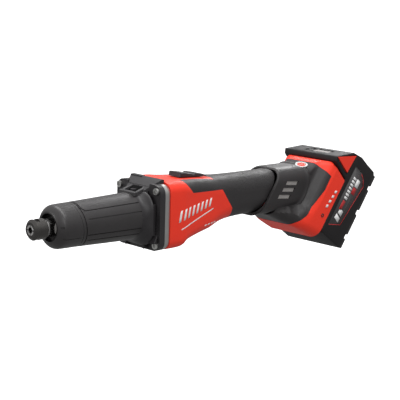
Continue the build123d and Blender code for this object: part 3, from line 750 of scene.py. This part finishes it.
def build_top_panel(bm):
    """A fine groove round the panel on top of the sleeve, with its corners cut off."""
    low, corner, front, back = radians(42), radians(52), 47.2, 51.2
    top = 8

    def on_sleeve(x, angle, side):
        return Vector((x, side * SLEEVE_RADIUS * cos(angle), SLEEVE_RADIUS * sin(angle)))

    for side in (-1, 1):
        cut(bm, (0, 0, 0), (0, -side * sin(low), cos(low)), lambda c: c.z > top)
        first, second = on_sleeve(front, corner, side), on_sleeve(back, low, side)
        across = (second - first).cross(Vector((0, first.y, first.z)))
        cut(bm, first, across, lambda c: c.z > top and c.y * side > 0 and c.x < 60)
    cut(bm, (front, 0, 0), (1, 0, 0), lambda c: c.z > top)
    panel = []
    for face in bm.faces:
        centre = middle_of(face)
        angle = side_angle(centre, -1 if centre.y < 0 else 1)
        edge = front
        if angle < corner:
            edge = front + (corner - angle) / (corner - low) * (back - front)
        if angle > low and centre.x > edge:
            panel.append(face)
    ring = bmesh.ops.inset_region(
        bm, faces=panel, thickness=1.0 * mm, depth=0, use_boundary=False, use_even_offset=True
    )
    sink(bm, ring["faces"], 0.9)


build_nose_cap()
build_neck_sleeve()

# ---------------------------------------------------------------- exhaust shroud
# Sections of the flare: x, half width, low, high and corner.
FLARE = (
    (114.6, 23.5, -23.5, 23.5, 23.4),
    (118.0, 23.7, -23.9, 23.5, 22.8),
    (120.4, 24.3, -25.2, 23.9, 21),
    (122.6, 25.3, -26.9, 24.5, 19),
    (124.2, 26.5, -28.1, 25.2, 17.4),
    (125.4, 27.0, -28.5, 25.5, 17),
)
SCOOP_HALF, SCOOP_LOW = 8.6, 15
# Where the shield starts, clears the scoop, reaches full width and ends.
SHIELD_FRONT, SHIELD_CLEAR, SHIELD_FULL, SHIELD_BACK = 124.6, 128.4, 138.2, 141.9
SHIELD_TOP = ((SHIELD_FRONT, 26.2), (SHIELD_FULL, 36.3), (SHIELD_BACK, 36.4))
# The shield's underside steps up over the adapter plate's flange.
SHIELD_UNDER = (
    (SHIELD_FRONT, 22.6), (129, 26.1), (129.1, 30.0), (135.5, 30.0), (135.6, 33.2),
    (SHIELD_BACK, 33.2),
)
LIP_FRONT, LIP_BACK, LIP_ARM_END, LIP_FLOOR = 113.6, 117.4, 127.6, 20.6
FLANGE_FRONT = 128.9


def heights(pairs, x):
    """Height at x along a list of (x, z) corners."""
    for (x0, z0), (x1, z1) in zip(pairs, pairs[1:]):
        if x <= x1 + 1e-6:
            return z0 + (z1 - z0) * max(x - x0, 0) / (x1 - x0)
    return pairs[-1][1]


def plan_solid(outline, upper, lower, cuts=()):
    """A plan outline between an upper and a lower height line."""
    bm = solid(outline, 0, 1, plan_view)
    for x in cuts:
        cut(bm, (x, 0, 0), (1, 0, 0))
    for vert in bm.verts:
        pairs = upper if vert.co.z > 0.5 * mm else lower
        vert.co.z = heights(pairs, vert.co.x / mm) * mm
    bmesh.ops.recalc_face_normals(bm, faces=bm.faces)
    return bm


def shroud_flare():
    """The flaring skin in front of the flange, open on top behind the scoop's lip."""
    rows = 14

    def point(row, step):
        x = FLARE[0][0] + (FLARE[-1][0] - FLARE[0][0]) * row / rows
        return (x, *ring_point(*between(FLARE, x), step))

    bm = wrap(rows, point)
    for side in (-1, 1):
        cut(bm, (0, side * SCOOP_HALF, 0), (0, 1, 0), lambda c: c.z > SCOOP_LOW)
    keep_faces(bm, lambda c: not (c.z > SCOOP_LOW and abs(c.y) < SCOOP_HALF))
    face_out(bm)
    return bm


def build_shield():
    """The sloping shield behind the scoop, and the rim along its top."""
    clear_half, full_half, low_half = 15.98, 22.7, 13.4
    shield = plan_solid(
        ((SHIELD_CLEAR, -clear_half), (SHIELD_FULL, -full_half), (SHIELD_BACK, -full_half),
         (SHIELD_BACK, full_half), (SHIELD_FULL, full_half), (SHIELD_CLEAR, clear_half)),
        SHIELD_TOP, SHIELD_UNDER, (129, 129.1, 135.5, 135.6, SHIELD_FULL),
    )
    for side in (-1, 1):
        cheek = ((SHIELD_FRONT, side * SCOOP_HALF), (SHIELD_FRONT, side * low_half),
                 (128.5, side * clear_half), (128.5, side * (SCOOP_HALF - 1.4)))
        join(shield, plan_solid(cheek, SHIELD_TOP, SHIELD_UNDER))
    finish_piece(
        shield, "shroud_shield", black_nylon, "body", edge=0.7, steps=3
    )
    front, inner, outer = 137.2, 5.5, 22.2
    rim = plan_solid(
        ((front, inner), (SHIELD_BACK, inner), (SHIELD_BACK, outer), (front, outer)),
        ((front, 36.9), (SHIELD_BACK, 37.1)),
        ((front, 35.6), (SHIELD_BACK, 35.6)),
    )
    finish_piece(rim, "shield_rim", black_nylon, "body", edge=0.5, steps=3)


def build_scoop():
    """The glossy lip round the scoop's front and sides, and a near-black box in its throat that
    paints the shade inside the scoop.
    """
    outer, inner = 11.6, 8.2
    upper = ((LIP_FRONT, 25.2), (LIP_BACK, 25.4), (LIP_ARM_END, 28.6))
    lower = ((LIP_FRONT, LIP_FLOOR), (LIP_ARM_END, LIP_FLOOR))
    lip = plan_solid(
        ((LIP_FRONT, -outer), (LIP_BACK, -outer), (LIP_BACK, outer), (LIP_FRONT, outer)),
        upper, lower,
    )
    for side in (-1, 1):
        low, high = sorted((side * inner, side * outer))
        start = LIP_BACK - 0.2
        arm = ((start, low), (LIP_ARM_END, low), (LIP_ARM_END, high), (start, high))
        join(lip, plan_solid(arm, upper, lower))
    finish_piece(lip, "scoop_lip", dark_gloss, "body", edge=1.0, steps=4)
    # Painted shade: a near-black box in the scoop's opening, standing in for the shadow inside it.
    throat = solid(((117.5, 19.2), (128.6, 19.2), (128.6, 28.2), (128.0, 28.2), (128.0, 19.8),
                    (117.5, 19.8)), -8.1, 8.1, side_view)
    finish_piece(throat, "scoop_painted_shade", painted_shade_black, "body")


def build_posts():
    """Posts, corner webs and lower stubs between the flare and the flange."""
    back = FLANGE_FRONT
    outlines = (
        (((125.0, -17), (back, -17), (back, 14), (125.0, 14)), 24.0, 26.8),
        (((123.6, -24.5), (back, -24.5), (back, -15.5)), 21, 29.8),
        (((124.4, -31.5), (back, -31.5), (back, -26), (124.4, -26)), 12, 14.5),
    )
    posts = bmesh.new()
    for side in (-1, 1):
        for outline, inner, outer in outlines:
            join(posts, side_solid(outline, inner, outer, side, side_view))
    finish_piece(posts, "shroud_posts", black_nylon, "body", edge=0.6)


def build_exhaust_shroud():
    """The whole shroud between the neck sleeve and the housing."""
    finish_piece(
        shroud_flare(), "shroud_flare", black_nylon, "body", ("exhaust_shroud",),
        2.4, 0.5, 3,
    )
    build_shield()
    build_scoop()
    build_posts()


build_exhaust_shroud()

# ---------------------------------------------------------------- motor housing and grip
# Sections of housing and grip: x, half width, low, high and corner.
BODY = (
    (142, 33, -32.6, 34, 10),
    (152, 32.9, -32.7, 33.9, 10),
    (163, 32.4, -31.8, 33.5, 10),
    (171, 30.6, -28.2, 32.8, 11),
    (191, 27.5, -24.2, 31.8, 12),
    (208, 25, -21.7, 30.6, 13),
    (223, 22.5, -18.2, 29.8, 15),
    (238, 21, -16, 29.2, 16),
    (262, 20.5, -15, 29, 17),
    (322, 20.5, -15, 29, 17),
)
BODY_FRONT, GRIP_REAR = 142.1, 318.0
HEAD_START = 235.6
OVERMOULD = (
    (163.0, 45), (163.0, 34.0), (174.8, 20.8), (222.6, 18.4), (238.8, -2.6), (241.5, -30),
    (340, -30), (340, 45),
)
# The raised red ridge on top, which runs back into the black overmould.
RIDGE_HALF, RIDGE_END, RIDGE_LOW = 16.0, 215.0, 22
SLOT_FRONT, SLOT_BACK, SLOT_HALF = 181.5, 197.5, 3.4
RED_SCREWS = ((165.2, -25.5), (217, -12))
GRIP_SCREWS = ((252, 21), (296, 21), (273, -10))
WELL_RADIUS, WELL_SIDES = 3.1, 16


def in_overmould(centre):
    """True where the skin belongs to the black grip and not to the red housing."""
    on_ridge = centre.x < RIDGE_END and abs(centre.y) < RIDGE_HALF and centre.z > RIDGE_LOW + 1
    return inside_outline(OVERMOULD, centre.x, centre.z) and not on_ridge


def body_skin():
    """The whole outer skin of housing and grip, cut along its parting lines."""
    rows = 79

    def point(row, step):
        x = BODY_FRONT + (GRIP_REAR - BODY_FRONT) * row / rows
        return (x, *ring_point(*between(BODY, x), step))

    bm = wrap(rows, point)
    # How far forward, back and down each cut of the parting line reaches.
    reaches = ((150, 182, 15), (160, 230, -40), (212, 248, -40), (230, 252, -40))
    for start, end, (front, back, low) in zip(OVERMOULD[1:5], OVERMOULD[2:6], reaches):
        cut_side_line(bm, start, end, lambda c: front < c.x < back and c.z > low)
    for side in (-1, 1):
        cut(bm, (0, side * RIDGE_HALF, 0), (0, 1, 0), lambda c: c.z > RIDGE_LOW and c.x < 228)
    cut(bm, (RIDGE_END, 0, 0), (1, 0, 0),
        lambda c: c.z > RIDGE_LOW and abs(c.y) < RIDGE_HALF + 3)
    cut(bm, (0, 0, 0), (0, 1, 0))
    rear = Vector(tilt_view(HEAD_START - 0.4, 0, 0))
    cut(bm, rear, ACROSS, lambda c: c.x > 260)
    keep_faces(bm, lambda c: (c - rear).dot(ACROSS) < 0)
    face_out(bm, lambda x: 3 * mm)
    return bm


def open_switch_slot(bm, side):
    """Half of the slot on top that the switch knob slides in."""
    for x in (SLOT_FRONT, SLOT_BACK):
        cut(bm, (x, 0, 0), (1, 0, 0), lambda c: c.z > RIDGE_LOW and abs(c.y) < 5)
    cut(bm, (0, side * SLOT_HALF, 0), (0, 1, 0), lambda c: c.z > RIDGE_LOW and 175 < c.x < 205)

    def in_slot(centre):
        return (abs(centre.y) < SLOT_HALF and SLOT_FRONT < centre.x < SLOT_BACK
                and centre.z > RIDGE_LOW)

    keep_faces(bm, lambda c: not in_slot(c))


def build_housing_and_grip():
    """Left and right halves of the red housing and of the black grip."""
    for name, side in SIDES:
        red = body_skin()
        keep_faces(red, lambda c: c.y * side > 0 and not in_overmould(c))
        open_switch_slot(red, side)
        if side > 0:
            drill_screw_wells(red, RED_SCREWS, side)
        finish_piece(red, f"housing_{name}_shell", red_nylon, "body", (f"housing_{name}",),
                     2.4, 0.4)
        black = body_skin()
        keep_faces(black, lambda c: c.y * side > 0 and in_overmould(c))
        if side > 0:
            drill_screw_wells(black, GRIP_SCREWS, side)
        finish_piece(black, f"grip_{name}_shell", dimpled_rubber, "body", (f"grip_{name}",),
                     2.4, 0.45)


def drill_screw_wells(bm, places, side):
    """Round wells in one side for the housing screws."""
    for x, z in places:
        outline = round_outline(x, z, WELL_RADIUS, WELL_SIDES)
        open_window(bm, outline, lambda c: c.y * side > 5)


# The dimples are spread round a line at this height, as if on this radius.
DIMPLE_AXIS, DIMPLE_RADIUS = 7 * mm, 22 * mm
DIMPLE_PITCH, DIMPLE_BORDER = 1.9 * mm, 13.5 * mm
# Share of a wave's height where a dimple starts, and how much painted shade darkens each dimple's
# colour.
DIMPLE_EDGE, DIMPLE_PAINTED_SHADE = 0.45, 0.55


def grip_dimples():
    """Rubber with small dimples on its upper part, smooth below, each dimple darkened with painted
    shade.
    """
    material, tree, shader = new_material("dimpled_rubber")
    place = tree.nodes.new("ShaderNodeTexCoord").outputs["Object"]
    split = tree.nodes.new("ShaderNodeSeparateXYZ")
    tree.links.new(place, split.inputs[0])
    x, y, z = split.outputs
    level = math_node(tree, "SUBTRACT", z, DIMPLE_AXIS)
    around = math_node(tree, "MULTIPLY", math_node(tree, "ARCTAN2", y, level), DIMPLE_RADIUS)

    def wave(operation):
        slant = math_node(tree, operation, x, around)
        return math_node(tree, "SINE", math_node(tree, "MULTIPLY", slant, pi / DIMPLE_PITCH))

    waves = math_node(tree, "MULTIPLY", wave("ADD"), wave("SUBTRACT"))
    dots = math_node(tree, "GREATER_THAN", math_node(tree, "ABSOLUTE", waves), DIMPLE_EDGE)
    border = math_node(tree, "GREATER_THAN", z, DIMPLE_BORDER)
    pits = math_node(tree, "MULTIPLY", dots, border)
    group = tree.nodes.new("ShaderNodeGroup")
    group.node_tree = SPARK
    group.inputs["Grain per metre"].default_value = RUBBER_GRAIN
    drift = group.outputs["Drift"]
    base = colour_mix(tree, drift, (0.018, 0.016, 0.017), (0.026, 0.023, 0.024))
    # Painted shade: the dimple pits' base colour is pulled towards near-black, as if shadowed.
    shade = tree.nodes.new("ShaderNodeMix")
    shade.data_type = "RGBA"
    tree.links.new(math_node(tree, "MULTIPLY", pits, DIMPLE_PAINTED_SHADE), shade.inputs["Factor"])
    tree.links.new(base, shade.inputs["A"])
    shade.inputs["B"].default_value = (0.006, 0.006, 0.006, 1)
    tree.links.new(shade.outputs["Result"], shader.inputs["Base Color"])
    tree.links.new(range_node(tree, drift, 0.46, 0.58), shader.inputs["Roughness"])
    height = math_node(
        tree, "SUBTRACT", math_node(tree, "MULTIPLY", group.outputs["Height"], 0.15), pits
    )
    tree.links.new(bump_node(tree, height, 0.6, 0.0003), shader.inputs["Normal"])
    return material


dimpled_rubber = grip_dimples()
build_housing_and_grip()

# ---------------------------------------------------------------- marks on the housing
def side_half_width(x, z):
    """Half the housing's width at a side-view point."""
    half, low, high, corner = between(BODY, x)
    if z > low + corner:
        return half
    return half - corner + (corner**2 - (low + corner - z) ** 2) ** 0.5


def quad_point(corners, u, v):
    """A point inside four corners given anticlockwise."""
    (x0, z0), (x1, z1), (x2, z2), (x3, z3) = corners
    x = (x0 * (1 - u) + x1 * u) * (1 - v) + (x3 * (1 - u) + x2 * u) * v
    z = (z0 * (1 - u) + z1 * u) * (1 - v) + (z3 * (1 - u) + z2 * u) * v
    return x, z


BAR_COUNT, BAR_START, BAR_PITCH = 8, 153.5, 6.6
BLOCK_COUNT, BLOCK_START, BLOCK_PITCH, BLOCK_LOW = 4, 194.5, 5, -15.6
STRIPE = ((157.5, -14.0), (207.6, 0.7), (207.6, 1.8), (157.5, -12.9))
PRINT_LIFT = 0.12


def housing_marks():
    """Plain slanted white bars, one straight stripe and small blocks, on both sides."""
    bars = []
    for number in range(BAR_COUNT):
        x = BAR_START + BAR_PITCH * number
        low, high = -6.2 + 1.4 * number, 5.2 + 0.95 * number
        bars.append(((x, low), (x + 2.7, low + 0.6), (x + 5.1, high + 0.6), (x + 2.4, high)))
    bars.append(STRIPE)
    for number in range(BLOCK_COUNT):
        x, z = BLOCK_START + BLOCK_PITCH * number, BLOCK_LOW + 0.4 * number
        bars.append(((x, z), (x + 3, z + 0.3), (x + 3.6, z + 1.7), (x + 0.6, z + 1.4)))
    for name, side in SIDES:
        marks = bmesh.new()
        for corners in bars:
            def point(u, v):
                x, z = quad_point(corners, u, v)
                return (x, side * (side_half_width(x, z) + PRINT_LIFT), z)

            join(marks, sheet(10, 3, point))
        bmesh.ops.recalc_face_normals(marks, faces=marks.faces)
        for face in marks.faces:
            if face.normal.y * side < 0:
                face.normal_flip()
        finish_piece(marks, f"housing_marks_{name}", white_print, "body",
                     thick=0.2)


housing_marks()

# ---------------------------------------------------------------- head and foot
# Height and x of the saddle's rear edge.
SADDLE = (
    (-17.8, 300.0), (-14.8, 316.0), (-13.8, 326.0), (-12.0, 333.5), (-9.0, 338.6),
    (-5.0, 343.0), (-1.5, 346.0), (3, 348.8), (8, 350.8), (14, 352.2), (22, 353.0), (32, 352.0),
)
SADDLE_BOTTOM = -13.4
# Half width, low, high and corner of the saddle's and the barrel's sections.
SADDLE_SECTION, BARREL_SECTION = (24.7, -17.7, 31.1, 15.5), (24.0, -17.0, 30.6, 15)
BARREL_END = 279.0
VENT_BARS = ((314.6, 16.2), (309.4, 9.5), (302.9, 2.7))
VENT_LENGTH, VENT_HALF, VENT_DROP, VENT_LEAN = 18, 2.0, 1.8, 2.4
BUTTON_PLACE = Vector((353, -11.5, 31.2))
BUTTON_AXIS = Vector((-0.17, -0.22, 0.95)).normalized()
BUTTON_OPENING, BUTTON_SIDES = 7.1, 20


def vent_window(x, z):
    """Side view of one slanted vent bar, a little larger than its insert."""
    low, high = z - VENT_HALF, z + VENT_HALF
    end = x + VENT_LENGTH
    return ((x, low), (end, low - VENT_DROP), (end + VENT_LEAN, high - VENT_DROP),
            (x + VENT_LEAN, high))


def leaning_x(across, z):
    """X at a height on the plane at this distance across the pack."""
    return across / cos(TILT) + z * sin(TILT) / cos(TILT)


def open_vents(bm, side):
    """The slanted vent openings in one side of the head."""
    for x, z in VENT_BARS:
        open_window(bm, vent_window(x, z), lambda c: c.y * side > 12)


def build_head_saddle():
    """The raised skin over the head's barrel, with a lip where the foot begins."""
    near_end = ((5.2, 0.0), (4.2, 0.35), (3.0, 1.0), (1.8, 1.5), (0.7, 1.2), (0.0, 0.2),
                (0.0, -2.2))
    near_start = ((0.0, -1.8), (0.0, -0.3), (0.5, 0.0))
    runs = 24
    last = len(near_start) + runs + len(near_end) - 1

    def point(row, step):
        from_end = row - len(near_start) - runs
        lift = 0.0
        if row < len(near_start):
            lift = near_start[row][1]
        if from_end >= 0:
            lift = near_end[from_end][1]
        half, low, high, corner = SADDLE_SECTION
        y, z = ring_point(half + lift, low - lift, high + lift, corner + lift, step)
        start = leaning_x(HEAD_START - 0.6, z)
        end = heights(SADDLE, z)
        if row < len(near_start):
            x = start + near_start[row][0]
        elif from_end >= 0:
            x = end - near_end[from_end][0]
        else:
            share = (row - len(near_start) + 1) / (runs + 1)
            x = start + 0.5 + (end - near_end[0][0] - start - 0.5) * share
        return (x, y, z)

    bm = wrap(last, point)
    cut(bm, (0, 0, SADDLE_BOTTOM), (0, 0, 1))
    keep_faces(bm, lambda c: c.z > SADDLE_BOTTOM)
    for side in (-1, 1):
        open_vents(bm, side)
    cut_button_well(bm)
    face_out(bm, lambda x: 7 * mm)
    finish_piece(bm, "head_saddle", head_rubber, "body", thick=1.3, edge=0.25)


def build_head_barrel():
    """The two halves of the head's barrel, under the saddle."""
    runs = 30
    for name, side in SIDES:
        def point(row, step):
            y, z = ring_point(*BARREL_SECTION, step)
            start, end = leaning_x(HEAD_START, z), leaning_x(BARREL_END, z)
            return (start + (end - start) * row / runs, y, z)

        bm = wrap(runs, point)
        cut(bm, (0, 0, 0), (0, 1, 0))
        keep_faces(bm, lambda c: c.y * side > 0)
        open_vents(bm, side)
        cut_button_well(bm)
        face_out(bm, lambda x: 7 * mm)
        finish_piece(bm, f"head_{name}_barrel", head_rubber, "body", (f"head_{name}",),
                     3.0, 0.3)


def cut_button_well(bm):
    """A round opening over the mode button."""
    across = BUTTON_AXIS.orthogonal().normalized()
    other = BUTTON_AXIS.cross(across)

    def near(centre):
        return (centre - BUTTON_PLACE).length < 16

    for turn_x, turn_y in round_outline(0, 0, 1, BUTTON_SIDES):
        outward = across * turn_x + other * turn_y
        cut(bm, BUTTON_PLACE + outward * BUTTON_OPENING, outward, near)
    drop = []
    for face in bm.faces:
        offset = middle_of(face) - BUTTON_PLACE
        flat = offset - BUTTON_AXIS * offset.dot(BUTTON_AXIS)
        if near(middle_of(face)) and flat.length < BUTTON_OPENING:
            drop.append(face)
    bmesh.ops.delete(bm, geom=drop, context="FACES")


# Sections of the foot: across, half width, low and high along, lower and upper corner.
FOOT = (
    (254, 24.4, 159.2, 214.0, 13, 12),
    (266, 26.6, 161.0, 224.5, 12.5, 12),
    (274, 29.6, 162.2, 232.5, 12, 11),
    (279, 31.6, 163.0, 240.4, 12, 8),
    (289, 35.4, 164.5, 248.3, 11, 4.5),
    (296, 36.8, 165.4, 246.9, 11, 4),
    (314.3, 38.3, 167.7, 241.8, 11, 4),
)
# Half width of the foot beside the barrel, before and while it flares.
FLANK = ((250, 22.6), (279, 23.0), (282, 24.4), (285, 28.2), (288, 32.0), (291, 34.4), (296, 36.6))
# The red band's outline, across and along.
BAND = (
    (276.4, 262), (276.4, 239.2), (294.2, 233.8), (294.6, 216.5), (289.6, 191.3),
    (287.5, 180), (281, 166), (278, 150), (320, 150), (320, 262),
)


def two_corner_point(half, low, high, low_corner, high_corner, step):
    """As ring_point, with different corners above and below."""
    turned = min(step, RING - step)
    corner = high_corner if turned <= TOP_STEPS + ARC_STEPS else low_corner
    y, z = ring_point(half, low, high, corner, step)
    if TOP_STEPS + ARC_STEPS < turned < HALF - TOP_STEPS - ARC_STEPS:
        share = (turned - TOP_STEPS - ARC_STEPS) / SIDE_STEPS
        z = high - high_corner + (low + low_corner - high + high_corner) * share
    return y, z


def foot_skin(lift):
    """The foot's whole skin, grown by a lift and cut along the band's front edge."""
    rows = 60

    def point(row, step):
        t = FOOT[0][0] + (FOOT[-1][0] - FOOT[0][0]) * row / rows
        half, low, high, low_corner, high_corner = between(FOOT, t)
        y, l = two_corner_point(half + lift, low - lift, high + lift, low_corner, high_corner, step)
        height = l * cos(TILT) - t * sin(TILT)
        share = min(max((height - SADDLE_BOTTOM + 2.2) / 3.4, 0), 1)
        if t < FLANK[-1][0]:
            y *= 1 + (heights(FLANK, t) / half - 1) * smooth(share)
        return tilt_view(t, l, y)

    bm = wrap(rows, point)
    for start, end in zip(BAND[1:7], BAND[2:8]):
        cut_tilt_line(bm, start, end, lambda c: tilt_of(c)[0] < 300)
    return bm


# The channel through the band's top for the pack's rails.
CHANNEL_FRONT, CHANNEL_LOW, CHANNEL_HALF = 298.4, 235, 27.5


def build_foot():
    """The black cuff of the foot and the red band round it."""
    cuff = foot_skin(0.1)
    keep_faces(cuff, lambda c: not inside_outline(BAND, *tilt_of(c)))
    face_out(cuff, foot_middle)
    finish_piece(cuff, "foot_cuff", head_rubber, "body", thick=1.6, edge=0.4)
    band = foot_skin(0.35)
    keep_faces(band, lambda c: inside_outline(BAND, *tilt_of(c)))

    def high_up(centre):
        return tilt_of(centre)[1] > CHANNEL_LOW

    for side in (-1, 1):
        cut(band, (0, side * CHANNEL_HALF, 0), (0, 1, 0), high_up)
    cut(band, Vector(tilt_view(CHANNEL_FRONT, 0, 0)), ACROSS, high_up)

    def over_channel(centre):
        behind = tilt_of(centre)[0] > CHANNEL_FRONT
        return behind and high_up(centre) and abs(centre.y) < CHANNEL_HALF

    keep_faces(band, lambda c: not over_channel(c))
    face_out(band, foot_middle)
    finish_piece(
        band, "foot_band_shell", red_nylon, "body", ("foot_band",), 2.6, 0.6, 3
    )


def foot_middle(x):
    """Height of the foot's middle line at x, in metres."""
    return (7 - (x / mm - 330) * 0.3) * mm


def band_details():
    """A screw low on each side of the band, and four small white slanted marks."""
    for name, side in SIDES:
        marks = bmesh.new()
        for number in range(4):
            l = 201.5 + 6.4 * number
            t = 306.6 + 0.9 * number
            outline = ((t - 1.5, l), (t - 1.5, l + 3.2), (t + 1.5, l + 4.4), (t + 1.5, l + 1.2))
            join(marks, side_solid(outline, 37.9, 38.7, side, tilt_view))
        finish_piece(marks, f"band_marks_{name}", white_print, "body")
        head = round_outline(306.7, 191.8, 2.1, 20)
        screw = side_solid(head, 36.0, 38.75, side, tilt_view)
        face = max(screw.faces, key=lambda f: f.calc_center_median().y * side)
        bmesh.ops.inset_region(screw, faces=[face], thickness=0.9 * mm, depth=0)
        sink(screw, [face], 0.8, Vector((0, -side, 0)))
        finish_piece(screw, f"band_screw_{name}", black_steel, "body", edge=0.2)


build_head_barrel()
build_head_saddle()
build_foot()
band_details()

# ---------------------------------------------------------------- battery pack
# Outlines of the pack, its key pockets and its labels, across and along.
PACK = (
    (314.7, 179.5), (317.7, 176.5), (355.5, 176.5), (355.5, 271), (352.5, 274), (338, 274.6),
    (324, 276), (308.5, 273), (285.5, 254.6), (288.2, 249.4), (314.7, 242.4),
)
PACK_HALF, PACK_SPLIT, PACK_FRONT = 39.0, 338.0, 314.7
KEY_POCKET = ((284.6, 254.5), (313.8, 273.2), (311.6, 247.2))
LABEL = (
    (320.4, 187.6), (339.6, 196.8), (347.6, 251.4), (341.6, 258), (334, 262.5), (320.4, 262),
)
GAUGE_PLACE = Vector(tilt_view(297, 263.8, 0))
GAUGE_AXIS = (ACROSS * -0.6248 + ALONG * 0.7808).normalized()
GAUGE_HALF_WIDTH, GAUGE_HALF_DEPTH = 17.0, 6.5
LABEL_DEPTH, POCKET_DEPTH, GAUGE_DEPTH = 0.35, 2.2, 1.0
# The opening in the pack's front where the rail tower stands.
MOUTH_HALF, MOUTH_LOW, MOUTH_HIGH = 22.9, 190.1, 243


def sink_side_outline(bm, outline, side, depth):
    """Cut a tilted outline into one flat side of the pack and push it in."""
    def on_side(centre):
        return centre.y * side > PACK_HALF - 0.05

    for start, end in zip(outline, outline[1:] + outline[:1]):
        cut_tilt_line(bm, start, end, on_side)
    faces = []
    for face in bm.faces:
        centre = middle_of(face)
        if on_side(centre) and inside_outline(outline, *tilt_of(centre)):
            faces.append(face)
    if faces:
        sink(bm, faces, depth, Vector((0, -side, 0)))


def pack_block():
    """The pack's whole outside, with pockets for keys, labels and the gauge."""
    bm = solid(PACK, -PACK_HALF, PACK_HALF, tilt_view)
    bmesh.ops.bevel(
        bm, geom=bm.edges[:], offset=1.6 * mm, offset_type="OFFSET", affect="EDGES",
        segments=3, profile=0.5, material=-1, clamp_overlap=True,
    )
    for side in (-1, 1):
        sink_side_outline(bm, LABEL, side, LABEL_DEPTH)
        sink_side_outline(bm, KEY_POCKET, side, POCKET_DEPTH)
    beside = Vector((0, 1, 0))
    forward = GAUGE_AXIS.cross(beside)

    def on_top(centre):
        return abs((centre - GAUGE_PLACE).dot(GAUGE_AXIS)) < 0.3

    for direction, reach in ((beside, GAUGE_HALF_WIDTH), (forward, GAUGE_HALF_DEPTH)):
        for sign in (-1, 1):
            cut(bm, GAUGE_PLACE + direction * sign * reach, direction, on_top)
    faces = []
    for face in bm.faces:
        offset = middle_of(face) - GAUGE_PLACE
        inside = (abs(offset.dot(beside)) < GAUGE_HALF_WIDTH
                  and abs(offset.dot(forward)) < GAUGE_HALF_DEPTH)
        if on_top(middle_of(face)) and inside:
            faces.append(face)
    sink(bm, faces, GAUGE_DEPTH, -GAUGE_AXIS)
    cut(bm, Vector(tilt_view(PACK_SPLIT, 0, 0)), ACROSS)
    bmesh.ops.recalc_face_normals(bm, faces=bm.faces)
    return bm


def build_pack():
    """The pack's two shells, its rail tower and its labels."""
    for name, side in (("front", -1), ("back", 1)):
        bm = pack_block()
        keep_faces(bm, lambda c: (tilt_of(c)[0] - PACK_SPLIT) * side > 0)
        if name == "front":
            open_tower_mouth(bm)
        finish_piece(bm, f"pack_{name}_shell", pack_nylon, "pack", (f"pack_case_{name}",),
                     2.0, 0.4)
    build_tower()
    build_labels()


def open_tower_mouth(bm):
    """Leave the front face open where the rail tower stands on it."""
    def on_front(centre):
        across, along = tilt_of(centre)
        return abs(across - PACK_FRONT) < 0.3 and along < MOUTH_HIGH

    for y in (-MOUTH_HALF, MOUTH_HALF):
        cut(bm, (0, y, 0), (0, 1, 0), on_front)
    cut(bm, Vector(tilt_view(0, MOUTH_LOW, 0)), ALONG, on_front)

    def in_mouth(centre):
        return on_front(centre) and abs(centre.y) < MOUTH_HALF and tilt_of(centre)[1] > MOUTH_LOW

    keep_faces(bm, lambda c: not in_mouth(c))


def build_tower():
    """The rail tower: a wide head on a narrower neck, slotted for the tool's blades."""
    head_half, neck_half, slot_half, slot_pitch = 27, 23, 1.3, 8.0
    head_front, neck_front, root = 300.2, 307.5, 316
    low, slots_end, neck_high, head_high = 190, 209, 244, 251.6

    def add(front, back, bottom, top, inner, outer):
        outline = ((front, bottom), (back, bottom), (back, top), (front, top))
        join(tower, solid(outline, inner, outer, tilt_view))

    tower = bmesh.new()
    slots = []
    for number in (-2, -1, 0, 1, 2):
        slots += [slot_pitch * number - slot_half, slot_pitch * number + slot_half]
    for half, front, back, high in ((head_half, head_front, neck_front, head_high),
                                    (neck_half, neck_front, root, neck_high)):
        edges = [-half, *slots, half]
        for inner, outer in zip(edges[0::2], edges[1::2]):
            add(front, back, low, slots_end, inner, outer)
        add(front, back, slots_end, high, -half, half)
    finish_piece(tower, "pack_rail_tower", pack_nylon, "pack", edge=0.3)


def stripe(points, width):
    """Quads of one width along a run of points."""
    quads = []
    for (a, b), (c, d) in zip(points, points[1:]):
        length = hypot(c - a, d - b)
        u, v = (d - b) / length * width / 2, -(c - a) / length * width / 2
        quads.append(((a - u, b - v), (c - u, d - v), (c + u, d + v), (a + u, b + v)))
    return quads


def build_labels():
    """Dark glossy side labels with a thin red line and plain white blocks."""
    white = [((324.4, 199.6), (333.2, 197.4), (333.4, 203.0), (325.6, 205.0)),
             ((326.4, 206.6), (333.6, 205.2), (333.8, 211.4), (327.4, 212.6))]
    for number in range(7):
        l = 224.6 + 4.1 * number
        white.append(((325.2, l), (330.9, l), (330.9, l + 2.6), (325.2, l + 2.6)))
    white.append(((332.2, 243.6), (338.4, 243.6), (338.4, 252.6), (332.2, 252.6)))
    red = [((325.0, 210.8), (329.6, 210.8), (330.4, 222.4), (325.6, 222.4)),
           ((332.0, 234.4), (338.2, 234.4), (338.2, 242.4), (332.0, 242.4))]
    border = ((321.4, 188.8), (338.9, 197.5), (346.6, 251.0), (341.0, 257.2), (334.6, 260.8))
    red += stripe(border, 0.8)
    for name, side in SIDES:
        plate = side_solid(LABEL, PACK_HALF - 0.5, PACK_HALF - 0.12, side, tilt_view)
        finish_piece(plate, f"pack_label_{name}", dark_gloss, "pack")
        for ink, quads, material in (("white", white, white_print), ("red", red, label_red)):
            marks = bmesh.new()
            for corners in quads:
                join(marks, side_solid(corners, PACK_HALF - 0.3, PACK_HALF - 0.02, side,
                                       tilt_view))
            finish_piece(marks, f"pack_{ink}_marks_{name}", material, "pack")


build_pack()
